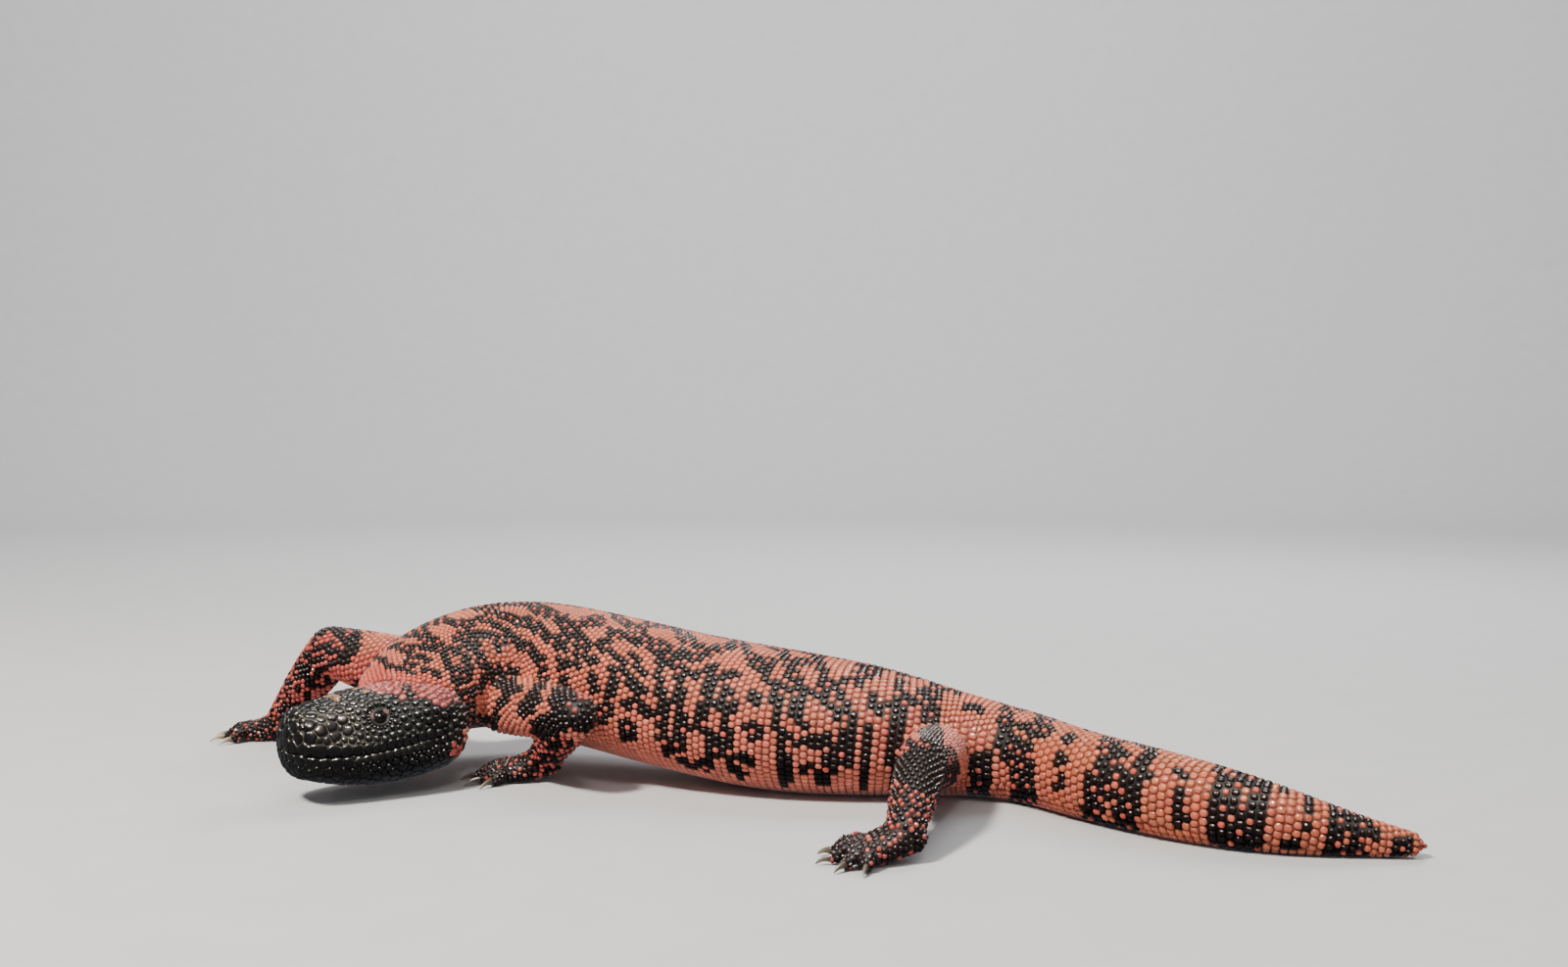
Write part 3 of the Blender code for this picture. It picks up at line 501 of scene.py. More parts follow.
# What each part of a limb has where no stroke lies: its colour, and the share of red beads in it.
LIMB_GROUNDS = {
    "upper_front_left": (PINK, 0.0),
    "lower_front_left": (BLACK, 0.45),
    "upper_back_left": (BLACK, 0.12),
    "lower_back_left": (BLACK, 0.46),
    "upper_front_right": (BLACK, 0.50),
    "lower_front_right": (BLACK, 0.62),
    "palm": (SOOT, 0.22),
    "toe": (SOOT, 0.08),
}
HEAD_STROKES = (
    (MAUVE, 17, (384, 697), (410, 703), (435, 703), (458, 712)),
    (ROSE, 9, (345, 699), (384, 694)),
    (JET, 5, (414, 700), (419, 710)),
    (PALE, 5, (342, 711), (343, 712)),
    (PALE, 4, (371, 704), (372, 705)),
    (MAUVE, 4, (327, 707), (328, 708)),
    (MAUVE, 5, (366, 716), (367, 717)),
    (MAUVE, 5, (312, 713), (314, 715)),
    (RED, 10, (467, 762), (469, 775)),
    (PINK, 9, (476, 746), (477, 756)),
)
# The soft lids round the eye.
LID_STROKES = (
    (LID, 3.4, (392.5, 725.0), (395.5, 727.0)),
    (LID, 2.8, (380.2, 730.0), (380.7, 733.0)),
    (LID_GREY, 3.0, (397.0, 731.0), (396.0, 737.0)),
)

rng = np.random.default_rng(SEED)


def unit(vectors):
    return vectors / np.maximum(np.linalg.norm(vectors, axis=-1, keepdims=True), 1e-12)


def bent(values, squareness):
    """Sines or cosines bent from a circle's towards a box's."""
    return np.sign(values) * np.abs(values) ** (2 / squareness)


def smooth_rows(rows, step):
    """Rows of numbers read from a smooth curve through the given ones, about a step apart along x, y, z."""
    rows = np.array(rows, float)
    ends = np.vstack([2 * rows[0] - rows[1], rows, 2 * rows[-1] - rows[-2]])
    made = []
    for a, b, c, d in zip(ends, ends[1:], ends[2:], ends[3:]):
        count = max(1, round(float(np.linalg.norm(c[:3] - b[:3])) / step))
        for t in np.arange(count) / count:
            square, cube = 2 * a - 5 * b + 4 * c - d, 3 * b - a - 3 * c + d
            made.append(0.5 * (2 * b + (c - a) * t + square * t**2 + cube * t**3))
    return np.array([*made, rows[-1]])


def read_off(at, along, rows):
    """Rows of numbers read between the given ones, at these lengths along them."""
    return np.stack([np.interp(at, along, column) for column in rows.T], axis=-1)


def lengths_along(points):
    """How far each point lies along the line through them."""
    return np.append(0.0, np.cumsum(np.linalg.norm(np.diff(points, axis=0), axis=1)))


def eased_spine():
    """The spine in fine steps with its bends eased, and each step's distance from the head end."""
    rows = smooth_rows(SPINE, 0.001)
    reach = SPINE_EASING
    before = [2 * rows[0] - rows[i] for i in range(reach, 0, -1)]
    after = [2 * rows[-1] - rows[-1 - i] for i in range(1, reach + 1)]
    padded = np.vstack([before, rows, after])
    weights = np.hanning(2 * reach + 3)[1:-1]
    weights /= weights.sum()
    rows = np.array([weights @ padded[i : i + 2 * reach + 1] for i in range(len(rows))])
    rows[:, :3] -= ORIGIN
    return rows, lengths_along(rows[:, :3])


SPINE_ROWS, SPINE_ALONG = eased_spine()


def ring(middle, side, up, half_width, half_height, sides, squareness=2.0):
    """One closed section, starting at its top and turning towards side."""
    angles = np.arange(sides) * math.tau / sides
    across = half_width * bent(np.sin(angles), squareness)
    above = half_height * bent(np.cos(angles), squareness)
    return middle + across[:, None] * side + above[:, None] * up


def trunk_rings(step=0.0015, sides=96):
    """Sections of the skin of trunk and tail, with a rounded end at the tail's tip."""
    rings = []
    for distance in np.arange(0.0, SPINE_ALONG[-1], step):
        before, row, after = read_off(distance + np.array((-0.002, 0.0, 0.002)), SPINE_ALONG, SPINE_ROWS)
        ahead = unit(before[:3] - after[:3])
        side = unit(np.cross(UP, ahead))
        inset = min(SKIN_DEPTH, 0.22 * row[3])
        up = np.cross(ahead, side)
        rings.append(ring(row[:3], side, up, row[3] - inset, row[4] - inset, sides, TRUNK_SQUARENESS))
    end = np.array(SPINE[-1][:3]) - ORIGIN
    for share in (0.45, 0.8):
        middle = rings[-1].mean(0)
        rings.append(middle + (rings[-1] - middle) * (1 - share**2) + (0.0011, -0.0002, 0))
    return np.array(rings), end + (0.0030, -0.0006, -0.0004)


def head_axes():
    """The head's own directions: forward, left and up."""
    level = math.cos(HEAD_PITCH)
    forward = -np.array((math.cos(HEAD_YAW) * level, math.sin(HEAD_YAW) * level, math.sin(HEAD_PITCH)))
    left = unit(np.cross(UP, forward))
    return forward, left, np.cross(forward, left)


FORWARD, LEFT, HEAD_UP = head_axes()


def head_size(back):
    """Half width, crown height and chin depth at distances back from the snout's tip."""
    table = np.array(HEAD_SECTIONS)
    snout = 1 - np.maximum(0.0, 1 - back / SNOUT_ROUND) ** 2.4
    nape = 1 - np.clip(1 - (HEAD_LENGTH + NAPE_ROUND - back) / NAPE_ROUND, 0.0, 1.0) ** 2.2
    closing = np.sqrt(np.maximum(snout, 0.0) * np.maximum(nape, 0.0))
    return [np.interp(back, table[:, 0], table[:, column]) * closing for column in (1, 2, 3)]


def snout_backs(first, count):
    """Distances back over the snout's rounding, closer together towards its tip."""
    return SNOUT_ROUND * (1 - np.cos(np.linspace(first, math.pi / 2, count)))


def head_points(back, degrees, grow=0.0, mouth_depth=0.0):
    """Points of the head's surface. Degrees run from the crown over the left side to the chin."""
    back, degrees = np.broadcast_arrays(np.asarray(back, float), np.asarray(degrees, float))
    half_width, crown, chin = head_size(back)
    angle = np.radians(degrees)
    side, height = np.sin(angle), np.cos(angle)
    squareness = np.where(height > 0, CROWN_SQUARENESS, CHIN_SQUARENESS)
    x = bent(side, squareness) * half_width
    y = bent(height, squareness) * np.where(height > 0, crown, chin)
    swell = np.full(back.shape, float(grow))
    for at, round_at, rise, spread, spread_round in HEAD_SWELLINGS:
        away = ((back - at) / spread) ** 2 + ((np.abs(degrees) - round_at) / spread_round) ** 2
        swell += rise * np.exp(-away)
    from_lip = np.abs(np.abs(degrees) - 90)
    closing = np.clip(np.minimum((MOUTH_CORNER - back) / 0.004, half_width / 0.010), 0.0, 1.0)
    swell += closing * LIP_SWELL * np.exp(-(((from_lip - 6) / 4) ** 2))
    swell -= closing * mouth_depth * np.exp(-((from_lip / 0.9) ** 2))
    length = np.maximum(np.hypot(x, y), 1e-9)
    x, y = x * (1 + swell / length), y * (1 + swell / length)
    share = np.clip(back / MOUTH_CORNER, 0.0, 1.0)
    y = y - MOUTH_DIP * np.sin(math.pi * share**0.75) * side**2
    return SNOUT_TIP - FORWARD * back[..., None] + LEFT * x[..., None] + HEAD_UP * y[..., None]


def head_normals(back, degrees):
    """The outward directions of the head's surface."""
    step = 0.0006
    back, degrees = np.broadcast_arrays(np.asarray(back, float), np.asarray(degrees, float))
    near = np.maximum(back - step, 0.00002)
    along = head_points(back + step, degrees) - head_points(near, degrees)
    around = head_points(back, degrees + 2) - head_points(back, degrees - 2)
    return unit(np.cross(around, along))


def eye_place(side):
    """The eye's middle and the way that it faces."""
    back, degrees = EYE_AT
    normal = head_normals(back, side * degrees)
    return head_points(back, side * degrees) - normal * (EYE_RADIUS * EYE_DEPTH), normal


def joint(limb, name):
    place, radius = limb[name]
    return np.array(place) - ORIGIN, radius


def palm_place(limb):
    return np.array((*limb["palm"], 0.0)) - ORIGIN * (1, 1, 0)


def foot_heading(limb):
    wrist = joint(limb, "end")[0] * (1, 1, 0)
    return unit(palm_place(limb) - wrist)


def limb_rings(limb, first, second, sides=48):
    """Sections of one straight length of limb's skin, rounded at both ends."""
    start, start_radius = joint(limb, first)
    end, end_radius = joint(limb, second)
    ahead = unit(end - start)
    side = unit(np.cross(UP, ahead))
    up = np.cross(ahead, side)
    rings = []

    def add(middle, radius):
        rings.append(ring(middle, side, up, radius, radius, sides))

    reach = start_radius - SKIN_DEPTH
    for share in (-0.97, -0.85, -0.65, -0.4, -0.2):
        add(start + ahead * (reach * share), reach * math.sqrt(1 - share**2))
    for share in np.linspace(0, 1, 28):
        fullness = 1 + LIMB_FULLNESS * math.sin(math.pi * share)
        radius = (start_radius + (end_radius - start_radius) * share) * fullness
        add(start + (end - start) * share, radius - SKIN_DEPTH)
    end_reach = end_radius - SKIN_DEPTH
    for share in (0.2, 0.4, 0.65, 0.85, 0.97):
        add(end + ahead * (end_reach * share), end_reach * math.sqrt(1 - share**2))
    return np.array(rings), (start - ahead * reach, end + ahead * end_reach)


def limb_lengths(limb):
    """The upper and the lower length of a limb."""
    return [limb_rings(limb, *ends) for ends in (("root", "middle"), ("middle", "end"))]


def palm_rings(limb, sides=32):
    """Sections of the skin of the palm or sole with the wrist or ankle."""
    depth = FOOT_SKIN_DEPTH
    wrist, wrist_radius = joint(limb, "end")
    heading = foot_heading(limb)
    side = unit(np.cross(UP, heading))
    middle = palm_place(limb)
    places = (
        (wrist - heading * (wrist_radius * 0.75), 0.0075, 0.0048, 0.0050),
        (wrist, wrist[2] * 0.78, wrist_radius * 0.98, wrist_radius * 0.98),
        (wrist + (middle - wrist) * 0.6, 0.0054, PALM_HALF_WIDTH * 0.92, PALM_HEIGHT * 1.3),
        (middle, 0.0042, PALM_HALF_WIDTH, PALM_HEIGHT * 1.1),
        (middle + heading * 0.0042, 0.0038, PALM_HALF_WIDTH * 0.82, PALM_HEIGHT * 0.95),
    )
    rows = smooth_rows([(place[0], place[1], *sizes) for place, *sizes in places], 0.0010)
    rings = [ring(row[:3], side, UP, row[3] - depth, row[4] - depth, sides) for row in rows]
    first, last = rows[0], rows[-1]
    return np.array(rings), (first[:3] - heading * (first[3] * 0.6), last[:3] + heading * 0.0026)


def toe_rows(limb, number):
    """The middle line and radii of a toe, from inside the palm to the claw's root, and its direction."""
    heading = foot_heading(limb)
    turn = math.radians(limb["toes"][number])
    length = limb["toe_lengths"][number]
    direction = np.array(Matrix.Rotation(turn, 3, "Z") @ Vector(heading))
    across = np.array((-heading[1], heading[0], 0))
    spread = math.sin(turn) * PALM_HALF_WIDTH * 0.72
    root = palm_place(limb) + across * spread + heading * (math.cos(turn) * 0.0035)
    knuckle = 0.0046
    places = (
        (root, knuckle, TOE_ROOT_RADIUS),
        (root + direction * (length * 0.45), knuckle + 0.0006, TOE_ROOT_RADIUS * 0.98),
        (root + direction * (length * 0.8), 0.0030, TOE_ROOT_RADIUS * 0.86),
        (root + direction * length, 0.0020, TOE_TIP_RADIUS),
    )
    rows = [(place[0], place[1], height, radius) for place, height, radius in places]
    return smooth_rows(rows, length / 12), direction


def toe_rings(limb, number, sides=24):
    """Sections of a toe's skin, rounded at its tip."""
    rows, direction = toe_rows(limb, number)
    depth = FOOT_SKIN_DEPTH
    side = unit(np.cross(UP, direction))
    ahead = unit(np.gradient(rows[:, :3], axis=0))
    discs = [(row[:3], way, row[3] - depth) for row, way in zip(rows, ahead)]
    for share in (0.5, 0.85):
        middle = rows[-1, :3] + ahead[-1] * (0.0012 * share)
        discs.append((middle, ahead[-1], (TOE_TIP_RADIUS - depth) * math.sqrt(1 - share**2)))
    rings = [ring(middle, side, np.cross(way, side), size, size, sides) for middle, way, size in discs]
    return np.array(rings), (rows[0, :3] - ahead[0] * 0.001, rows[-1, :3] + ahead[-1] * 0.0013)


def claw_rings(limb, number, sides=16, steps=18):
    """Sections of a hooked claw, on the line of the solids' own claw, from inside the toe's end."""
    rows, direction = toe_rows(limb, number)
    middle = rows[-1, :3]
    side = unit(np.cross(UP, direction))
    rings = []
    for i in range(steps):
        share = i / steps
        pitch = math.radians(-12 + 62 * share)
        forward = unit(direction * math.cos(pitch) - UP * math.sin(pitch))
        radius = CLAW_ROOT_RADIUS * (1 - share) ** 0.8
        rings.append(ring(middle, side, np.cross(forward, side), radius * 0.72, radius, sides))
        middle = middle + forward * (limb["claw"] / steps)
        middle[2] = max(middle[2], 0.0006)
    return np.array(rings), (rings[0].mean(0) - direction * 0.0006, middle)


def on_floor(points, level=0.0):
    points = np.array(points)
    points[..., 2] = np.maximum(points[..., 2], level)
    return points


def quads_between(first, second, sides):
    """The faces between two rings, each given by the number of its first point."""
    pairs = [(i, (i + 1) % sides) for i in range(sides)]
    return [(first + i, first + j, second + j, second + i) for i, j in pairs]


def loft_parts(rings, tips):
    """The points and faces of a closed body through rings of points."""
    count, sides = rings.shape[:2]
    points = [*rings.reshape(-1, 3), *tips]
    faces = []
    for r in range(count - 1):
        faces += quads_between(r * sides, (r + 1) * sides, sides)
    last = (count - 1) * sides
    for i in range(sides):
        j = (i + 1) % sides
        faces.append((j, i, count * sides))
        faces.append((last + i, last + j, count * sides + 1))
    return points, faces


def linked(name, data):
    """A new object in the scene."""
    made = bpy.data.objects.new(name, data)
    bpy.context.scene.collection.objects.link(made)
    return made


def mesh_object(name, parts):
    """One mesh object from several bodies' points and faces."""
    points, faces = [], []
    for more_points, more_faces in parts:
        start = len(points)
        points += [tuple(p) for p in more_points]
        faces += [tuple(start + i for i in face) for face in more_faces]
    mesh = bpy.data.meshes.new(name)
    mesh.from_pydata(points, [], faces)
    mesh.update()
    mesh.shade_smooth()
    return linked(name, mesh)


def applied(obj):
    graph = bpy.context.evaluated_depsgraph_get()
    mesh = bpy.data.meshes.new_from_object(obj.evaluated_get(graph))
    obj.modifiers.clear()
    obj.data = mesh
    return obj


def mesh_points(mesh, what="co"):
    values = np.empty(len(mesh.vertices) * 3)
    mesh.vertices.foreach_get(what, values)
    return values.reshape(-1, 3)


def tree_of(places, members):
    """A search tree of some of the places, each found by its own number."""
    tree = kdtree.KDTree(len(members))
    for i in members:
        tree.insert(places[i], int(i))
    tree.balance()
    return tree


def body_skin():
    """The skin of trunk, tail, limbs and feet, with a plain head that the finer one then covers."""
    rings, end = trunk_rings()
    parts = [loft_parts(on_floor(rings, FLOOR_LEVEL), (rings[0].mean(0), end))]
    backs = np.concatenate([snout_backs(0.1, 10), np.linspace(0.009, 0.069, 40)])
    degrees = np.linspace(0, 360, 72, endpoint=False)
    degrees = np.where(degrees > 180, degrees - 360, degrees)
    head = head_points(backs[:, None], degrees[None, :], -HEAD_SKIN_DEPTH - 0.0010)
    parts.append(loft_parts(head, (SNOUT_TIP - FORWARD * 0.0012, head[-1].mean(0))))
    for limb in LIMBS.values():
        toes = [toe_rings(limb, number) for number in range(5)]
        forms = [*limb_lengths(limb), palm_rings(limb), *toes]
        parts += [loft_parts(on_floor(rings, FLOOR_LEVEL), tips) for rings, tips in forms]
    skin = mesh_object("skin", parts)
    remesh = skin.modifiers.new("join", "REMESH")
    remesh.mode = "VOXEL"
    remesh.voxel_size = SKIN_STEP
    smooth = skin.modifiers.new("ease", "SMOOTH")
    smooth.factor = 0.5
    smooth.iterations = 4
    applied(skin)
    points = on_floor(mesh_points(skin.data), FLOOR_LEVEL)
    skin.data.vertices.foreach_set("co", points.ravel())
    skin.data.update()
    skin.data.shade_smooth()
    return skin


def hollow(points, middle, normal, across, radius, stretch, depth):
    """Points sunk along a normal inside an oval round a middle. Stretch is how much longer it is across."""
    away = points - middle
    height = away @ normal
    flat = away - height[..., None] * normal
    along = flat @ across
    rest = np.linalg.norm(flat - along[..., None] * across, axis=-1)
    share = np.hypot(along / (radius * stretch), rest / radius)
    sink = depth * np.exp(-(share**4)) * (np.abs(height) < HOLLOW_REACH)
    return points - sink[..., None] * normal


def opening(at, side):
    """A head opening's middle, normal and the direction that it is longer in."""
    back, degrees = at
    middle, normal = head_points(back, side * degrees), head_normals(back, side * degrees)
    down = unit(-HEAD_UP + normal * (HEAD_UP @ normal))
    return middle, normal, down


def head_skin():
    """The finer skin of the head with its mouth, sockets, nostrils and ears."""
    backs = np.concatenate([snout_backs(0.06, 26), np.linspace(SNOUT_ROUND, 0.0660, 96)[1:]])
    half = np.concatenate(
        [
            np.linspace(0, 84, 43),
            (85, 86, 87, 87.8, 88.5, 89.1, 89.6, 90, 90.5, 91.1, 91.8, 92.6, 93.5, 94.5),
            np.linspace(96, 180, 40),
        ]
    )
    degrees = np.concatenate([half, -half[-2:0:-1]])
    points = head_points(backs[:, None], degrees[None, :], -HEAD_SKIN_DEPTH, 0.0005)
    for side in (1, -1):
        for at, upright, *sizes in HOLLOWS:
            middle, normal, down = opening(at, side)
            across = down if upright else np.cross(down, normal)
            points = hollow(points, middle, normal, across, *sizes)
    parts = [loft_parts(points, (SNOUT_TIP - FORWARD * HEAD_SKIN_DEPTH, points[-1].mean(0)))]
    for side in (1, -1):
        parts.append(lid_parts(side))
    return mesh_object("head_skin", parts)


def lid_parts(side, steps=56, sides=14):
    """The folded rim of both lids round an eye."""
    middle, normal = eye_place(side)
    _, _, down = opening(EYE_AT, side)
    across = np.cross(down, normal)
    rings = []
    for i in range(steps):
        angle = math.tau * i / steps
        outward = unit(across * math.cos(angle) - down * (math.sin(angle) * 0.84))
        lower = max(0.0, -math.sin(angle))
        reach = EYE_RADIUS * (0.90 - 0.10 * math.sin(angle) ** 2)
        thick = 0.00085 + 0.00035 * (1 - lower)
        centre = middle + outward * reach + normal * (EYE_RADIUS * (0.55 + 0.10 * (1 - lower)))
        rings.append(ring(centre, outward, normal, thick, thick * 0.8, sides))
    faces = []
    for r in range(steps):
        faces += quads_between(r * sides, (r + 1) % steps * sides, sides)
    return np.concatenate(rings), faces


class Seeds:
    """Where scales grow: place, outward normal, the body's direction, size, form and region of each."""

    FIELDS = ("place", "normal", "along", "radius", "height", "flat", "built", "where")
    CELL = 0.004

    def __init__(self):
        self.rows = {name: [] for name in self.FIELDS}
        self.region = []
        self.cells = {}

    def near(self, place):
        x, y, z = np.floor(place / self.CELL).astype(int)
        for dx, dy, dz in itertools.product((-1, 0, 1), repeat=3):
            yield from self.cells.get((x + dx, y + dy, z + dz), ())

    def free(self, place, radius, closeness):
        """Whether a seed of this radius has room among those already there."""
        for i in self.near(place):
            away = np.linalg.norm(self.rows["place"][i] - place)
            if away < closeness * (radius + self.rows["radius"][i]):
                return False
        return True

    def add(self, region, place, normal, along, radius, height, flat, built, where):
        cell = tuple(np.floor(place / self.CELL).astype(int))
        self.cells.setdefault(cell, []).append(len(self.region))
        self.region.append(region)
        for name, value in zip(self.FIELDS, (place, normal, along, radius, height, flat, built, where)):
            self.rows[name].append(value)

    def table(self):
        columns = {name: np.array(values, float) for name, values in self.rows.items()}
        return {"region": np.array(self.region), **columns}


def ring_seeds(rings, pitch, belly=False):
    """Staggered rows of points on a lofted body: place, way along, shares along and round, spacing."""
    along = lengths_along(rings.mean(1))
    total = along[-1]
    ways = np.gradient(rings, along, axis=0)
    distance, row = 0.0, 0
    while distance < total:
        share = distance / total
        i = min(int(np.searchsorted(along, distance, side="right")) - 1, len(rings) - 2)
        t = (distance - along[i]) / (along[i + 1] - along[i])
        section = rings[i] * (1 - t) + rings[i + 1] * t
        way = ways[i] * (1 - t) + ways[i + 1] * t
        closed = np.vstack([section, section[:1]])
        around = lengths_along(closed)
        size = pitch(share)
        count = max(4, 2 * round(around[-1] / size / 2))
        turns = np.arange(count) / count
        stagger = np.full(count, 0.5 * (row % 2) / count)
        if belly:
            stagger *= np.clip((np.abs(turns - 0.5) - 0.16) / 0.04, 0.0, 1.0)
        turns = (turns + stagger) % 1.0
        spots = turns * around[-1]
        places = read_off(spots, around, closed)
        ahead = read_off(spots, around, np.vstack([way, way[:1]]))
        for place, direction, turn in zip(places, unit(ahead), turns):
            yield place, direction, share, turn, size
        distance += size * ROW_CLOSENESS
        row += 1


def lip_backs(count):
    """Distances back that are evenly spaced along the lips, and the lips' length from the snout's tip."""
    backs = np.concatenate([snout_backs(0.01, 200), np.linspace(SNOUT_ROUND + 0.0001, 0.060, 300)])
    line = head_points(backs, 90.0)
    length = lengths_along(line) + np.linalg.norm(line[0] - SNOUT_TIP)
    return np.interp(np.linspace(length[0], length[-1], count), length, backs), length, backs


def beside_mouth(back, height):
    """Degrees from the crown of the point that lies a height above the mouth's line, or below it."""
    _, crown, chin = head_size(np.asarray(back, float))
    if height > 0:
        return math.degrees(math.acos(min(1.0, (height / crown)) ** (CROWN_SQUARENESS / 2)))
    return 180 - math.degrees(math.acos(min(1.0, (-height / chin)) ** (CHIN_SQUARENESS / 2)))


def head_scale(back, degrees):
    """Radius, height and flatness of the scales at a place of the head."""
    for low, high, least, most, *sizes in HEAD_ZONES:
        if low < back < high and least < abs(degrees) < most:
            return sizes


def seed_head(seeds, skin):
    """The head's plates, with the lips' rows, the rings round the eyes, and room for its openings."""

    def put(back, degrees, radius, height=0.0, flat=1.0, built=1.0, closeness=0.0):
        place = head_points(back, degrees, -HEAD_SKIN_DEPTH)
        if seeds.free(place, radius, closeness):
            way = unit(head_points(back + 0.0005, degrees) - head_points(back, degrees))
            normal = head_normals(back, degrees)
            seeds.add("head", place, normal, way, radius, height, flat, built, (back, degrees))

    _, length, backs = lip_backs(10)
    for distance in np.arange(0.0004, length[-1] - MOUTH_SEEDS_END, MOUTH_STEP):
        back = np.interp(distance, length, backs)
        for side in (1, -1):
            put(back, side * 90, MOUTH_GAP, built=0.0)
    seed_openings(put)
    put(0.00015, beside_mouth(0.00015, 0.0020), 0.0025, 0.0006, 1.0)
    put(0.00012, 180, 0.0020, 0.0006, 1.0)
    seed_lips(put, length, backs)
    fill_head(seeds, put, skin)


def seed_openings(put):
    """Room for eyes, nostrils and ears, and the rings of granules round the eyes."""
    for side in (1, -1):
        middle, normal = eye_place(side)
        _, _, down = opening(EYE_AT, side)
        across = np.cross(down, normal)
        put(*np.multiply(EYE_AT, (1, side)), EYE_RADIUS * 0.92, built=0.0)
        put(*np.multiply(NOSTRIL_AT, (1, side)), 0.0008, built=0.0)
        for shift in (-6, -3, 0, 3, 6):
            put(EAR_AT[0], side * (EAR_AT[1] + shift), 0.0006, built=0.0)
        for radius, reach, height, count in EYE_GRANULES:
            for i in range(count):
                angle = math.tau * (i + 0.5 * (reach > 1.5)) / count  # the outer ring is staggered
                outward = across * math.cos(angle) - down * (math.sin(angle) * 0.92)
                spot = middle + normal * (EYE_RADIUS * EYE_DEPTH) + outward * (EYE_RADIUS * reach)
                back, degrees = head_coordinates(spot, EYE_AT[0], side * EYE_AT[1])
                put(back, degrees, radius, height, 0.1, closeness=0.5)


def seed_lips(put, length, backs):
    """The rows of plates along both lips, smaller and closer towards the mouth's corner."""
    for pitch, height, first, radius in LIP_ROWS:
        distance = first
        while distance < length[-1] - LIPS_END:
            back = np.interp(distance, length, backs)
            smaller = 1 - 0.42 * np.clip((distance - 0.014) / 0.020, 0.0, 1.0)
            reach = height * min(1.0, 0.62 + 0.02 * distance / 0.001) * smaller**0.6
            reach *= rng.uniform(0.92, 1.10)
            size = radius * smaller * rng.uniform(0.88, 1.12)
            for side in (1, -1):
                put(back, side * beside_mouth(back, reach), size, 0.00050, 0.85)
            distance += pitch * smaller * rng.uniform(0.84, 1.18)


def head_coordinates(spot, back, degrees):
    """The distance back and degrees of the head's point nearest to a spot, found by small steps."""
    for step, turn in ((0.002, 6.0), (0.0008, 2.4), (0.0003, 0.9), (0.0001, 0.3)):
        for _ in range(8):
            trial = [(back + i * step, degrees + j * turn) for i in (-1, 0, 1) for j in (-1, 0, 1)]
            places = head_points(np.array([t[0] for t in trial]), np.array([t[1] for t in trial]))
            best = trial[int(np.argmin(np.linalg.norm(places - spot, axis=1)))]
            if best == (back, degrees):
                break
            back, degrees = best
    return back, degrees


def fill_head(seeds, put, skin):
    """Fills the rest of the head, always where there is most room, the same on both sides."""
    even_backs = np.concatenate([lip_backs(150)[0], np.arange(0.0604, 0.0655, 0.0004)])
    half = np.linspace(0, 180, 110)
    back = np.repeat(even_backs, len(half))
    degrees = np.tile(half, len(even_backs))
    places = head_points(back, degrees, -HEAD_SKIN_DEPTH)
    sizes = np.array([head_scale(b, d)[0] for b, d in zip(back, degrees)])
    lateral = np.abs((places - SNOUT_TIP) @ LEFT)
    room = np.full(len(places), 1.0)
    tree = BVHTree.FromObject(skin, bpy.context.evaluated_depsgraph_get())
    for i in np.flatnonzero(back > 0.0440):
        hit, normal, _, _ = tree.find_nearest(places[i])
        if (hit - Vector(places[i])) @ normal > 0.0003:
            room[i] = -1  # under the neck

    def taken(place, radius):
        away = np.linalg.norm(places - place, axis=1) - radius
        np.minimum(room, away, out=room)

    table = seeds.table()
    for place, radius, built in zip(table["place"], table["radius"], table["built"]):
        taken(place, radius if built else radius + 0.0002)
    for share, closeness in HEAD_FILLS:
        while True:
            spare = room - sizes * share * closeness
            spare[(lateral < sizes * share) & (lateral > 0.00005)] = -1
            best = int(np.argmax(spare))
            if spare[best] < 0:
                break
            radius, height, flat = head_scale(back[best], degrees[best])
            middle = lateral[best] < 0.00005
            for side in (1,) if middle else (1, -1):
                put(back[best], side * degrees[best], radius * share, height * share**0.5, flat * share)
                taken(seeds.rows["place"][-1], radius * share)


